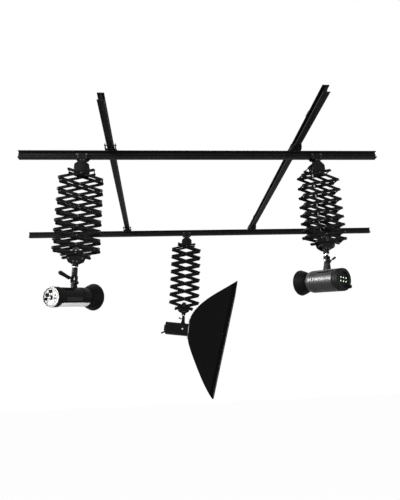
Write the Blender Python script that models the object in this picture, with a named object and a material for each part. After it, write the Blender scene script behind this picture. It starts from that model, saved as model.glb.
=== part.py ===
"""Studio ceiling rail system: fixed rails, rolling cross rails and three spring pantographs with lamp heads.

Metres, +Z up. The origin lies on the ceiling plane, midway between the fixed rails and above the
front cross rail. X runs along the cross rails and Y along the fixed rails.
"""

import math

import bmesh
import bpy
from mathutils import Matrix, Vector

# Running fit between pieces that move on each other
GAP = 0.0003

# Rail extrusion
RAIL_WIDTH = 0.044
RAIL_HEIGHT = 0.054
RAIL_LIP = 0.0075
RAIL_LIP_WALL = 0.0025
RAIL_FLOOR = 0.005
RAIL_WEB = 0.006
RAIL_RIB_WIDTH = 0.018
RAIL_RIB_LOW = 0.022
RAIL_RIB_HIGH = 0.032
RAIL_SCREW_PORT = 0.0025

# Layout under the ceiling
CEILING_BRACKET_HEIGHT = 0.012
FIXED_RAIL_SPACING = 1.37
FIXED_RAIL_LENGTH = 2.52
FIXED_RAIL_START = {"left": -0.594, "right": -0.699}
CROSS_RAIL_DROP = 0.014
REAR_RAIL_Y = 1.715
CROSS_RAIL_SPAN = {"front": (-1.331, 1.308), "rear": (-1.714, 2.037)}
BRACKET_INSET = 0.32
BRACKET_LENGTH = 0.072
BRACKET_WIDTH = 0.038
BRACKET_BOLT = 0.0045

# Rollers, axles and plates of the carriages
ROLLER_RADIUS = 0.0137
ROLLER_HEIGHT = RAIL_FLOOR + GAP + ROLLER_RADIUS
ROLLER_INNER = 0.0103
ROLLER_OUTER = 0.0185
AXLE_RADIUS = 0.004
BOLT_HEAD = 0.007
BOLT_HEAD_HEIGHT = 0.003
CARRIAGE_PLATE = 0.0025
CARRIAGE_SIDE_GAP = 0.0012
CARRIAGE_LENGTH = 0.100
CARRIAGE_WHEELBASE = 0.064
CARRIAGE_TOP = 0.031
CARRIAGE_DROP = 0.016
CARRIAGE_BASE = 0.003
STUD_RADIUS = 0.006
STUD_HEAD = 0.010
JUNCTION_PLATE_INNER = 0.035
JUNCTION_PLATE = 0.003
JUNCTION_LENGTH = 0.110
JUNCTION_WHEELBASE = 0.070

# Pantograph arms
ARM_LENGTH = 0.306
BAR_HEIGHT = 0.020
BAR_WALL = 0.0015
BAR_DEPTH = 0.0067
BAR_END = 0.009
BAR_CORNER = 0.005
LAYER_PLANE = 0.034
LAYER_GAP = 0.0006
PIN_RADIUS = 0.004
PIN_SIDES = 6
PIN_END = 0.002
EAR_LENGTH = 0.100
EAR_ROD = 0.0915
STAGES = 8

# Pantograph brackets
PLATE = 0.0025
PLATE_INNER = 0.0242
TOP_HEIGHT = 0.112
COLLAR_RISE = 0.0022
COLLAR_RADIUS = 0.017
HOOK = (-0.048, 0.030)
APEX_DROP = 0.066
APEX_BLOCK = 0.012
SOCKET_RADIUS = 0.021
SPIGOT_RADIUS = 0.0083
DRUM_RADIUS = 0.025
DRUM_WIDTH = 0.036
DRUM_RISE = 0.019
DRUM_AXLE = 0.005
STRIP_WIDTH = 0.016
STRIP_THICKNESS = 0.0008

# Where each pantograph hangs, how it is turned and how far it is pulled out
PANTOGRAPHS = {
    "left": {"rail": "front", "along": -0.883, "pan": 4.6, "lean": 1.7, "reach": 0.588, "taper": 0.21},
    "right": {"rail": "front", "along": 0.838, "pan": 11.0, "lean": 1.3, "reach": 0.5295, "taper": 0.29},
    "centre": {"rail": "rear", "along": -0.042, "pan": 1.5, "lean": 4.3, "reach": 0.6555, "taper": 0.0},
}

# Swivels: socket length, bright ring, neck, fork and the drop of the tilt bolt below the apex
SWIVELS = {
    "left": {"socket": 0.021, "ring": 0.008, "neck": 0.019, "bridge": 0.085, "drop": 0.134},
    "right": {"socket": 0.024, "ring": 0.010, "neck": 0.013, "bridge": 0.042, "drop": 0.076},
    "centre": {"socket": 0.021, "ring": 0.008, "neck": 0.013, "bridge": 0.040, "drop": 0.073},
}
FORK_INNER = 0.0137
FORK_CHEEK = 0.006
FORK_HALF = 0.014
TILT_BOLT = 0.005
LUG_HALF = 0.0134

# Heads: yaw and rise of the beam, body radius and length, tilt bolt above the body's axis
HEADS = {
    "left": {"yaw": 61.0, "rise": 9.2, "radius": 0.064, "back": -0.225, "front": 0.113, "hang": 0.091},
    "right": {"yaw": 122.0, "rise": 8.2, "radius": 0.078, "back": -0.143, "front": 0.143, "hang": 0.140},
    "centre": {"yaw": -7.0, "rise": -8.3, "radius": 0.059, "back": -0.186, "front": 0.064, "hang": 0.098},
}
REFLECTOR_MOUTH = 0.092
REFLECTOR_NECK = 0.056
REFLECTOR_LENGTH = 0.085
REFLECTOR_WALL = 0.0025
SPEEDRING_RADIUS = 0.076
SPEEDRING_DEPTH = 0.012
ROD_SOCKET_REACH = 0.132
ROD_SOCKET_WIDTH = 0.018
HEAD_SPIGOT = 0.050
HEAD_SPIGOT_DEPTH = 0.022
SOFTBOX_REAR = 0.100
SOFTBOX_HALF_WIDTH = 0.370
SOFTBOX_HALF_HEIGHT = 0.560
SOFTBOX_DEPTH = 0.376
SOFTBOX_BOW = 0.72
SOFTBOX_DROOP = 7.2
SOFTBOX_SAG = 0.038
SOFTBOX_RECESS = 0.035
SOFTBOX_CORNER = 0.030
SOFTBOX_WALL = 0.002

# Tilt levers: rod and grip length, grip radius and the angle at which they are clamped
LEVERS = {
    "left": {"rod": 0.082, "grip": 0.100, "radius": 0.0105, "angle": 190},
    "right": {"rod": 0.026, "grip": 0.030, "radius": 0.008, "angle": 200},
    "centre": {"rod": 0.024, "grip": 0.026, "radius": 0.008, "angle": 200},
}
LEVER_HUB = 0.011
LEVER_HUB_DEPTH = 0.0125
LEVER_ROD = 0.0035
TILT_BOLT_END = 0.008

# Turns that stand a flat outline up: in the XZ plane, extruded along -Y, or in the YZ plane, along X
UPRIGHT = Matrix(((1, 0, 0, 0), (0, 0, -1, 0), (0, 1, 0, 0), (0, 0, 0, 1)))
SIDEWAYS = Matrix(((0, 0, 1, 0), (1, 0, 0, 0), (0, 1, 0, 0), (0, 0, 0, 1)))


def clear_scene():
    for obj in list(bpy.data.objects):
        bpy.data.objects.remove(obj, do_unlink=True)


def material(name, colour, roughness, metallic=0.0):
    made = bpy.data.materials.new(name)
    made.use_nodes = True
    shader = made.node_tree.nodes["Principled BSDF"]
    shader.inputs["Base Color"].default_value = (*colour, 1.0)
    shader.inputs["Roughness"].default_value = roughness
    shader.inputs["Metallic"].default_value = metallic
    made.diffuse_color = (*colour, 1.0)
    return made


def turn_y(degrees):
    return Matrix.Rotation(math.radians(degrees), 4, "Y")


def turn_z(degrees):
    return Matrix.Rotation(math.radians(degrees), 4, "Z")


def shift(x, y, z):
    return Matrix.Translation((x, y, z))


def ring(radius, sides=8, centre=(0.0, 0.0)):
    """The corners of a regular polygon, with a flat side down."""
    step = 2 * math.pi / sides
    return [
        (centre[0] + radius * math.cos(step * (i + 0.5)), centre[1] + radius * math.sin(step * (i + 0.5)))
        for i in range(sides)
    ]


def arc(centre, radius, start, end, steps):
    """Points on an arc, with its angles in degrees."""
    turns = [math.radians(start + (end - start) * i / steps) for i in range(steps + 1)]
    return [(centre[0] + radius * math.cos(a), centre[1] + radius * math.sin(a)) for a in turns]


def mirrored(half):
    """A closed outline from its right half, which runs from bottom to top."""
    return half + [(-u, v) for u, v in reversed(half) if u > 0]


def rectangle(left, right, low, high):
    return [(left, low), (right, low), (right, high), (left, high)]


def hole_for(pin, sides=8):
    """Corner radius of a hole whose flats clear a pin by the running gap."""
    return (pin + GAP) / math.cos(math.pi / sides)


def loop(bm, points, level):
    verts = [bm.verts.new((u, v, level)) for u, v in points]
    return [bm.edges.new(pair) for pair in zip(verts, verts[1:] + verts[:1])]


def join_loops(bm, lower, upper):
    """A band of faces between two loops with the same number of points."""
    for first, second in zip(lower, upper):
        bm.faces.new((*first.verts, *reversed(second.verts)))


def raise_faces(bm, faces, height):
    """Extrudes faces along Z and keeps the first ones, as the underside of a sheet."""
    made = bmesh.ops.extrude_face_region(bm, geom=faces, use_keep_orig=True)["geom"]
    verts = [item for item in made if isinstance(item, bmesh.types.BMVert)]
    bmesh.ops.translate(bm, verts=verts, vec=(0, 0, height))


def slab(outline, low, high, holes=(), turn=Matrix.Identity(4)):
    """A flat outline with holes, filled and extruded from low to high."""
    bm = bmesh.new()
    edges = [edge for points in (outline, *holes) for edge in loop(bm, points, low)]
    bmesh.ops.triangle_fill(bm, use_beauty=True, edges=edges, normal=(0, 0, 1))
    raise_faces(bm, bm.faces[:], high - low)
    bmesh.ops.recalc_face_normals(bm, faces=bm.faces[:])
    bm.transform(turn)
    return bm


def across_y(outline, low, high, holes=()):
    """A slab of an XZ outline between two Y values."""
    return slab(outline, -high, -low, holes, UPRIGHT)


def across_x(outline, low, high, holes=()):
    """A slab of a YZ outline between two X values."""
    return slab(outline, low, high, holes, SIDEWAYS)


def both_y(outline, inner, outer, holes=()):
    """The same slab in front of and behind the middle plane."""
    return [across_y(outline, -outer, -inner, holes), across_y(outline, inner, outer, holes)]


def both_x(outline, inner, outer, holes=()):
    return [across_x(outline, -outer, -inner, holes), across_x(outline, inner, outer, holes)]


def turned(profile, sides, turn=Matrix.Identity(4)):
    """A profile of (radius, height) points turned about Z. Its ends lie on the axis or meet each other."""
    bm = bmesh.new()
    verts = [bm.verts.new((radius, 0, height)) for radius, height in profile]
    pairs = list(zip(verts, verts[1:]))
    if profile[0][0] > 0:
        pairs.append((verts[-1], verts[0]))
    edges = [bm.edges.new(pair) for pair in pairs]
    bmesh.ops.spin(
        bm, geom=verts + edges, cent=(0, 0, 0), axis=(0, 0, 1), angle=2 * math.pi, steps=sides, use_merge=True
    )
    bmesh.ops.remove_doubles(bm, verts=bm.verts[:], dist=1e-6)
    bmesh.ops.recalc_face_normals(bm, faces=bm.faces[:])
    bm.transform(turn)
    return bm


def placed(bm, turn):
    bm.transform(turn)
    return bm


def helper(bm):
    mesh = bpy.data.meshes.new("helper")
    bm.to_mesh(mesh)
    bm.free()
    obj = bpy.data.objects.new("helper", mesh)
    obj.hide_render = True
    obj.display_type = "WIRE"
    bpy.context.scene.collection.objects.link(obj)
    return obj


def add_boolean(base, operation, tools):
    group = bpy.data.collections.new(operation.lower())
    for tool in tools:
        group.objects.link(tool)
    boolean = base.modifiers.new(operation.title(), "BOOLEAN")
    boolean.operation = operation
    boolean.operand_type = "COLLECTION"
    boolean.collection = group
    boolean.solver = "EXACT"
    return group


def fused(pieces, cuts=()):
    """One mesh of overlapping pieces, less the cuts."""
    base, *rest = [helper(piece) for piece in pieces]
    tools = [helper(cut) for cut in cuts]
    groups = []
    if rest:
        groups.append(add_boolean(base, "UNION", rest))
    if tools:
        groups.append(add_boolean(base, "DIFFERENCE", tools))
    graph = bpy.context.evaluated_depsgraph_get()
    mesh = bpy.data.meshes.new_from_object(base.evaluated_get(graph))
    for obj in (base, *rest, *tools):
        bpy.data.objects.remove(obj, do_unlink=True)
    for group in groups:
        bpy.data.collections.remove(group)
    return mesh


def plain(bm):
    mesh = bpy.data.meshes.new("plain")
    bm.to_mesh(mesh)
    bm.free()
    return mesh


def pivot(name, turn, parent=None):
    """An empty on a joint's axis, placed in its parent's frame."""
    empty = bpy.data.objects.new(name, None)
    empty.empty_display_size = 0.05
    bpy.context.scene.collection.objects.link(empty)
    empty.parent = parent
    empty.matrix_local = turn
    return empty


def piece(name, mesh, finish, parent=None, turn=Matrix.Identity(4), smooth=False):
    mesh.name = name
    mesh.materials.clear()
    mesh.materials.append(finish)
    if smooth:
        mesh.shade_smooth()
        mesh.set_sharp_from_angle(angle=math.radians(35))
    obj = bpy.data.objects.new(name, mesh)
    bpy.context.scene.collection.objects.link(obj)
    obj.parent = parent
    obj.matrix_local = turn
    return obj


def rail_outline():
    """The rail's section: a lipped channel on each side, with a rib at mid height."""
    half = RAIL_WIDTH / 2
    lip = half - RAIL_LIP_WALL
    web = RAIL_WEB / 2
    rib = RAIL_RIB_WIDTH / 2
    top = RAIL_HEIGHT
    right = [
        (half, 0),
        (half, RAIL_LIP),
        (lip, RAIL_LIP),
        (lip, RAIL_FLOOR),
        (web, RAIL_FLOOR),
        (web, RAIL_RIB_LOW),
        (rib, RAIL_RIB_LOW),
        (rib, RAIL_RIB_HIGH),
        (web, RAIL_RIB_HIGH),
        (web, top - RAIL_FLOOR),
        (lip, top - RAIL_FLOOR),
        (lip, top - RAIL_LIP),
        (half, top - RAIL_LIP),
        (half, top),
    ]
    return mirrored(right)


def screw_port():
    return ring(RAIL_SCREW_PORT, 8, (0.0, RAIL_HEIGHT / 2))


def rollers_y(wheelbase, head_from):
    """Wheels in both channels of a rail along X, their axles and the heads outside the plates."""
    made = []
    roller = ROLLER_RADIUS / math.cos(math.pi / 8)
    for x in (-wheelbase / 2, wheelbase / 2):
        centre = (x, ROLLER_HEIGHT)
        made += both_y(ring(roller, 8, centre), ROLLER_INNER, ROLLER_OUTER)
        made += both_y(ring(AXLE_RADIUS, 6, centre), ROLLER_INNER + 0.001, head_from + 0.001)
        made += both_y(ring(BOLT_HEAD, 6, centre), head_from - 0.0005, head_from + BOLT_HEAD_HEIGHT)
    return made


def ceiling_bracket():
    """A clamp block with two bolt holes, between the ceiling and the rail's top."""
    half = BRACKET_WIDTH / 2
    long = BRACKET_LENGTH / 2
    outline = [(half, -long + 0.006), (half, long - 0.006), (half - 0.006, long)]
    outline += [(-u, v) for u, v in reversed(outline)]
    outline += [(-half + 0.006, -long), (half - 0.006, -long)]
    holes = [ring(BRACKET_BOLT, 6, (0.0, y)) for y in (-long / 1.6, long / 1.6)]
    return plain(slab(outline, GAP, CEILING_BRACKET_HEIGHT, holes))


def junction_carriage():
    """Plates and rollers on a fixed rail, and the jaws that hold the cross rail below it."""
    half = JUNCTION_LENGTH / 2
    base = -CROSS_RAIL_DROP + GAP
    inner = JUNCTION_PLATE_INNER
    outer = inner + JUNCTION_PLATE
    outline = [
        (-half + 0.012, base),
        (half - 0.012, base),
        (half, 0.004),
        (half, CARRIAGE_TOP - 0.008),
        (half - 0.008, CARRIAGE_TOP),
        (-half + 0.008, CARRIAGE_TOP),
        (-half, CARRIAGE_TOP - 0.008),
        (-half, 0.004),
    ]
    made = both_x(outline, inner, outer)
    made.append(across_x(rectangle(-half + 0.014, half - 0.014, base, base + 0.0045), -inner - 0.001, inner + 0.001))
    roller = ROLLER_RADIUS / math.cos(math.pi / 8)
    for y in (-JUNCTION_WHEELBASE / 2, JUNCTION_WHEELBASE / 2):
        centre = (y, ROLLER_HEIGHT)
        made += both_x(ring(roller, 8, centre), ROLLER_INNER, ROLLER_OUTER)
        made += both_x(ring(AXLE_RADIUS, 6, centre), ROLLER_INNER + 0.001, outer + 0.001)
        made += both_x(ring(BOLT_HEAD, 6, centre), outer - 0.0005, outer + BOLT_HEAD_HEIGHT)
    edge = RAIL_WIDTH / 2
    lip = -CROSS_RAIL_DROP - RAIL_LIP - GAP
    hook = [
        (edge + GAP, base + 0.002),
        (edge + GAP, lip),
        (edge - 0.0022, lip),
        (edge - 0.0022, lip - 0.003),
        (edge + 0.004, lip - 0.003),
        (edge + 0.004, base + 0.002),
    ]
    made.append(across_x(hook, -0.028, 0.028))
    made.append(across_x([(-u, v) for u, v in hook], -0.028, 0.028))
    return fused(made)


def pantograph_carriage():
    """A U-bracket with wheels in the cross rail, and a hanging stud. Its frame is at the rail's bottom."""
    inner = RAIL_WIDTH / 2 + CARRIAGE_SIDE_GAP
    outer = inner + CARRIAGE_PLATE
    half = CARRIAGE_LENGTH / 2
    low = -CARRIAGE_DROP
    waist = half - 0.014
    outline = [
        (-waist, low),
        (waist, low),
        (half, 0.004),
        (half, CARRIAGE_TOP - 0.007),
        (half - 0.007, CARRIAGE_TOP),
        (-half + 0.007, CARRIAGE_TOP),
        (-half, CARRIAGE_TOP - 0.007),
        (-half, 0.004),
    ]
    made = both_y(outline, inner, outer)
    made.append(across_y(rectangle(-waist, waist, low, low + CARRIAGE_BASE), -inner - 0.001, inner + 0.001))
    made += rollers_y(CARRIAGE_WHEELBASE, outer)
    for x in (-CARRIAGE_WHEELBASE / 2 + 0.004, CARRIAGE_WHEELBASE / 2 - 0.004):
        made += both_y(ring(0.006, 6, (x, -0.006)), outer - 0.0005, outer + BOLT_HEAD_HEIGHT)
    made.append(slab(ring(STUD_RADIUS, 8), low - 0.0163, low + 0.001))
    made.append(slab(ring(STUD_HEAD, 8), low - 0.0215, low - 0.0160))
    return fused(made)


def top_bracket(lean):
    """Two plates under a swivel collar. Its frame is the pan axis at the top pivot's height."""
    half = [
        *arc((0.0, 0.0), 0.016, -60, -38, 1),
        (0.054, 0.025),
        (0.052, 0.072),
        (0.020, 0.100),
        (0.020, TOP_HEIGHT),
    ]
    outline = mirrored(half)
    made = both_y(outline, PLATE_INNER, PLATE_INNER + PLATE)
    block = rectangle(-0.0195, 0.0195, TOP_HEIGHT - 0.0125, TOP_HEIGHT - 0.0005)
    made.append(across_y(block, -PLATE_INNER - 0.001, PLATE_INNER + 0.001))
    made += bracket_pins()
    made.append(across_y(ring(PIN_RADIUS, PIN_SIDES, HOOK), -PLATE_INNER - 0.001, PLATE_INNER + 0.001))
    made = [placed(bm, turn_y(lean) @ shift(0, 0, -TOP_HEIGHT)) for bm in made]
    made.append(slab(ring(COLLAR_RADIUS, 12), -0.0125, COLLAR_RISE))
    cut = slab(ring(hole_for(STUD_RADIUS), 8), -0.030, 0.010)
    return fused(made, [cut])


def bracket_pins():
    """The two short pins that carry the first or last pair of arms."""
    end = LAYER_PLANE + LAYER_GAP / 2 + BAR_WALL + PIN_END
    return both_y(ring(PIN_RADIUS, PIN_SIDES), PLATE_INNER + 0.001, end)


def bottom_bracket(socket):
    """Two plates that carry the drum and the spigot socket. Its frame is the last pivot."""
    half = [
        (SOCKET_RADIUS - 0.001, -APEX_DROP),
        (0.052, -0.050),
        (0.062, -0.028),
        (0.050, 0.002),
        (0.024, 0.012),
        *arc((0.0, DRUM_RISE), 0.013, 10, 70, 2),
    ]
    outline = mirrored(half)
    hole = ring(hole_for(DRUM_AXLE), 8, (0.0, DRUM_RISE))
    made = both_y(outline, PLATE_INNER, PLATE_INNER + PLATE, [hole])
    width = SOCKET_RADIUS - 0.0015
    block = rectangle(-width, width, -APEX_DROP + 0.0005, -APEX_DROP + APEX_BLOCK)
    made.append(across_y(block, -PLATE_INNER - 0.001, PLATE_INNER + 0.001))
    made += bracket_pins()
    made.append(slab(ring(SOCKET_RADIUS, 12), -APEX_DROP - socket, -APEX_DROP + 0.001))
    cut = slab(ring(hole_for(SPIGOT_RADIUS), 8), -APEX_DROP - socket - 0.01, -APEX_DROP + 0.004)
    return fused(made, [cut])


def spring_drum():
    """A flanged drum with its axle along Y, at its own centre."""
    flange = DRUM_WIDTH / 2
    profile = [
        (0, -PLATE_INNER - PLATE),
        (DRUM_AXLE, -PLATE_INNER - PLATE),
        (DRUM_AXLE, -flange),
        (DRUM_RADIUS, -flange),
        (DRUM_RADIUS - 0.003, -flange + 0.003),
        (DRUM_RADIUS - 0.003, flange - 0.003),
        (DRUM_RADIUS, flange),
        (DRUM_AXLE, flange),
        (DRUM_AXLE, PLATE_INNER + PLATE),
        (0, PLATE_INNER + PLATE),
    ]
    return plain(turned(profile, 12, Matrix.Rotation(math.pi / 2, 4, "X")))


def spring_strip(reach):
    """The flat steel strip from the hook pin down to the drum's left side. Its frame is the top pivot."""
    top = Vector((HOOK[0] + PIN_RADIUS + GAP, HOOK[1] + 0.008))
    foot = Vector((-DRUM_RADIUS + 0.003 - GAP - STRIP_THICKNESS, -reach + DRUM_RISE))
    thick = Vector((STRIP_THICKNESS, 0.0))
    outline = [tuple(foot), tuple(foot + thick), tuple(top + thick), tuple(top)]
    return plain(across_y(outline, -STRIP_WIDTH / 2, STRIP_WIDTH / 2))


def channel_bar(start, end, levels, holes=()):
    """A channel bar along X. Its web stands between the first two Y levels and its lips reach the third."""
    base, web, lips = (-level for level in levels)
    half = BAR_HEIGHT / 2
    low = half - BAR_WALL
    left = start + BAR_CORNER
    right = end - BAR_CORNER
    blunt = half - BAR_CORNER
    bm = bmesh.new()
    middle = [
        (left, half),
        (left, low),
        (right, low),
        (right, half),
        (end, blunt),
        (end, -blunt),
        (right, -half),
        (right, -low),
        (left, -low),
        (left, -half),
        (start, -blunt),
        (start, blunt),
    ]
    edges = [edge for points in (middle, *holes) for edge in loop(bm, points, base)]
    bm.verts.ensure_lookup_table()
    strips = [[bm.verts[i] for i in numbers] for numbers in ((0, 1, 2, 3), (6, 7, 8, 9))]
    bmesh.ops.triangle_fill(bm, use_beauty=True, edges=edges, normal=(0, 0, 1))
    for corners in strips:
        bm.faces.new(corners)
    raise_faces(bm, bm.faces[:], web - base)
    rims = [
        face
        for face in bm.faces
        if abs(face.calc_center_median().z - web) < 1e-7 and abs(face.calc_center_median().y) > low
    ]
    raise_faces(bm, rims, lips - web)
    bmesh.ops.delete(bm, geom=rims, context="FACES_ONLY")
    bmesh.ops.recalc_face_normals(bm, faces=bm.faces[:])
    bm.transform(UPRIGHT)
    return bm


def bar_levels(kind, side):
    """Web and lip levels of a bar: a bars lie outside and open outwards, b bars inside and inwards."""
    sign = 1 if kind == "a" else -1
    face = LAYER_PLANE + sign * LAYER_GAP / 2
    return [side * (face + sign * depth) for depth in (0.0, BAR_WALL, BAR_DEPTH)]


def arm(kind, first, last):
    """A front and a rear bar and the rods that tie them. Its frame is the crossing, +X to the upper end."""
    reach = ARM_LENGTH / 2
    upper = EAR_LENGTH if first else reach + BAR_END
    lower = EAR_LENGTH if last else reach + BAR_END
    bore = hole_for(PIN_RADIUS, PIN_SIDES)
    holes = [] if last else [ring(bore, PIN_SIDES, (-reach, 0.0))]
    if kind == "b" or first or last:
        holes.append(ring(bore, PIN_SIDES))
    made = [channel_bar(-lower, upper, bar_levels(kind, side), holes) for side in (-1, 1)]
    outside = LAYER_PLANE + LAYER_GAP / 2 + BAR_WALL + PIN_END
    within = LAYER_PLANE - LAYER_GAP / 2 - BAR_WALL - PIN_END
    if not first:
        made.append(across_y(ring(PIN_RADIUS, PIN_SIDES, (reach, 0.0)), -outside, outside))
    elif kind == "a":
        made.append(across_y(ring(PIN_RADIUS, PIN_SIDES, (EAR_ROD, 0.0)), -outside, outside))
    else:
        made.append(across_y(ring(PIN_RADIUS, PIN_SIDES, (EAR_ROD, 0.0)), -within - PIN_END, within + PIN_END))
    if kind == "a" and not first and not last:
        made += both_y(ring(PIN_RADIUS, PIN_SIDES), within, outside)
    return fused(made)


def stage_angle(reach):
    return math.degrees(math.asin(reach / STAGES / ARM_LENGTH))


def arm_turn(kind, angle):
    """Turns an arm's frame so that its +X end points up to the right for a, or up to the left for b."""
    return turn_y(-angle) if kind == "a" else turn_y(-(180 - angle))


def crossings(reach, taper):
    """Heights of the crossings below the top pivot. The cells shrink downwards by the taper."""
    mean = reach / STAGES
    steps = [mean * (1 + taper * (1 - 2 * (i + 0.5) / STAGES)) for i in range(STAGES)]
    return [-sum(steps[:i]) for i in range(STAGES + 1)]


def lattice(reach, taper):
    """All arms of one pantograph as a single springy piece, with bores for the brackets' pins."""
    heights = crossings(reach, taper)
    profile = [(-BAR_HEIGHT / 2, 0.0), (BAR_HEIGHT / 2, 0.0)]
    made = []
    for i, height in enumerate(heights):
        above = heights[i - 1] - height if i else heights[0] - heights[1]
        below = height - heights[i + 1] if i < STAGES else above
        angle = math.degrees(math.asin((above + below) / 2 / ARM_LENGTH))
        upper = EAR_LENGTH if i == 0 else ARM_LENGTH / 2 + BAR_END
        lower = EAR_LENGTH if i == STAGES else ARM_LENGTH / 2 + BAR_END
        for kind in ("a", "b"):
            turn = shift(0, 0, height) @ arm_turn(kind, angle)
            for side in (-1, 1):
                made.append(placed(plain_channel(-lower, upper, kind, side), turn))
            rod = EAR_ROD if i == 0 else ARM_LENGTH / 2
            width = LAYER_PLANE + (BAR_WALL / 2 if kind == "a" else -BAR_WALL / 2)
            made.append(placed(across_y(ring(PIN_RADIUS, PIN_SIDES, (rod, 0.0)), -width, width), turn))
    bore = hole_for(PIN_RADIUS, PIN_SIDES)
    cuts = [
        across_y(ring(bore, PIN_SIDES, (0.0, height)), side * LAYER_PLANE - 0.009, side * LAYER_PLANE + 0.009)
        for height in (heights[0], heights[-1])
        for side in (-1, 1)
    ]
    return fused(made, cuts)


def plain_channel(start, end, kind, side):
    """A square-ended bar that laps into its neighbour, so that they join where they cross."""
    sign = side if kind == "a" else -side
    face = side * LAYER_PLANE - sign * LAYER_GAP / 2
    lips = side * LAYER_PLANE + sign * BAR_DEPTH
    half = BAR_HEIGHT / 2
    profile = [(face, -half), (lips, -half), (lips, half), (face, half)]
    return across_x(profile, start, end)


def swivel(sizes):
    """Spigot, bright ring, neck and tilt fork. Its frame is the bracket's apex, and +X is the beam's side."""
    socket = sizes["socket"]
    ring_end = socket + GAP + sizes["ring"]
    made = [
        slab(ring(SPIGOT_RADIUS), -socket - 0.001, -0.001),
        slab(ring(0.0135, 12), -ring_end, -socket - GAP),
        slab(ring(sizes["neck"], 8), -sizes["bridge"] - 0.002, -ring_end + 0.0005),
    ]
    width = FORK_INNER + FORK_CHEEK
    bridge = rectangle(-FORK_HALF, FORK_HALF, -sizes["bridge"] - 0.008, -sizes["bridge"])
    made.append(across_y(bridge, -width, width))
    cheek = [
        *arc((0.0, -sizes["drop"]), FORK_HALF, 180, 360, 4),
        (FORK_HALF - 0.0001, -sizes["bridge"] - 0.004),
        (-FORK_HALF + 0.0001, -sizes["bridge"] - 0.004),
    ]
    made += both_y(cheek, FORK_INNER, width - 0.0001)
    made.append(across_y(ring(TILT_BOLT, 8, (0.0, -sizes["drop"])), -width - TILT_BOLT_END, width + 0.010))
    made.append(across_y(ring(0.009, 6, (0.0, -sizes["drop"])), width - 0.0005, width + 0.004))
    return fused(made)


def lever(sizes):
    """A clamping lever on the near end of the tilt bolt. Its frame is the tilt axis."""
    near = -FORK_INNER - FORK_CHEEK - GAP
    rod_end = sizes["rod"]
    grip_end = rod_end + sizes["grip"]
    radius = sizes["radius"]
    middle = near - LEVER_HUB_DEPTH + LEVER_ROD + 0.0005
    hub = across_y(ring(LEVER_HUB), near - LEVER_HUB_DEPTH, near)
    shaft = Matrix.Rotation(math.pi / 2, 4, "Y")
    rod = placed(slab(ring(LEVER_ROD, 6), LEVER_HUB * 0.7, rod_end + 0.010), shaft)
    profile = [
        (0, rod_end),
        (radius * 0.7, rod_end),
        (radius, rod_end + 0.004),
        (radius, grip_end - 0.006),
        (radius * 0.6, grip_end),
        (0, grip_end),
    ]
    grip = turned(profile, 8, shaft)
    turn = turn_y(sizes["angle"])
    parts = [hub] + [placed(bm, shift(0, middle, 0) @ turn) for bm in (rod, grip)]
    cut = across_y(ring(hole_for(TILT_BOLT)), near - TILT_BOLT_END - GAP, near + 0.003)
    return fused(parts, [cut])


def lug(hang, top, width=0.028):
    """The hanging ear of a head, bored for the tilt bolt. The body's top lies below it."""
    half = width / 2
    outline = [
        (-half - top, -hang),
        (half + top, -hang),
        *arc((0.0, 0.0), half, 0, 180, 6),
    ]
    return across_y(outline, -LUG_HALF, LUG_HALF, [ring(hole_for(TILT_BOLT))])


def along_beam(hang):
    """Turns a shape made along +Z so that it points along +X, on the body's axis below the tilt bolt."""
    return shift(0, 0, -hang) @ Matrix.Rotation(math.pi / 2, 4, "Y")


def left_head(sizes):
    """A round spotlight body with a recessed rear panel, knobs, sockets and a flash dome in front."""
    radius = sizes["radius"]
    back = sizes["back"]
    front = sizes["front"]
    profile = [
        (0, back + 0.006),
        (radius - 0.009, back + 0.006),
        (radius - 0.007, back),
        (radius - 0.002, back),
        (radius, back + 0.004),
        (radius, back + 0.060),
        (radius - 0.003, back + 0.063),
        (radius - 0.003, front - 0.075),
        (radius, front - 0.072),
        (radius, front - 0.012),
        (radius - 0.010, front),
        (0.028, front),
        (0.026, front + 0.020),
        (0.018, front + 0.034),
        (0, front + 0.040),
    ]
    turn = along_beam(sizes["hang"])
    made = [turned(profile, 20, turn), lug(sizes["hang"] - radius + 0.010, 0.006)]
    for u, v in ((-0.022, 0.022), (0.022, 0.022), (-0.022, -0.018), (0.022, -0.018)):
        made.append(placed(slab(ring(0.009, 8, (u, v)), back - 0.006, back + 0.008), turn))
    made.append(placed(slab(rectangle(-0.012, 0.012, -0.052, -0.038), back - 0.002, back + 0.008), turn))
    return fused(made)


def right_head(sizes):
    """A larger round body with a rear control ring of six buttons."""
    radius = sizes["radius"]
    back = sizes["back"]
    front = sizes["front"]
    profile = [
        (0, back + 0.010),
        (radius - 0.028, back + 0.010),
        (radius - 0.026, back),
        (radius - 0.006, back),
        (radius - 0.001, back + 0.006),
        (radius, back + 0.040),
        (radius - 0.004, back + 0.043),
        (radius - 0.004, back + 0.050),
        (radius, back + 0.053),
        (radius, front - 0.030),
        (radius - 0.018, front),
        (0.028, front),
        (0.026, front + 0.020),
        (0.018, front + 0.034),
        (0, front + 0.040),
    ]
    turn = along_beam(sizes["hang"])
    made = [turned(profile, 20, turn), lug(sizes["hang"] - radius + 0.012, 0.012)]
    for i in range(6):
        centre = (0.059 * math.cos(math.pi * (i + 0.5) / 3), 0.059 * math.sin(math.pi * (i + 0.5) / 3))
        made.append(placed(slab(ring(0.006, 6, centre), back - 0.003, back + 0.002), turn))
    return fused(made)


def rounded(half_width, half_height, corner, steps=2):
    """The outline of a rectangle with round corners, from its lower right."""
    points = []
    for i, (sx, sy) in enumerate(((1, -1), (1, 1), (-1, 1), (-1, -1))):
        centre = (sx * (half_width - corner), sy * (half_height - corner))
        points += arc(centre, corner, -90 + 90 * i, 90 * i, steps)
    return points


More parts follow.
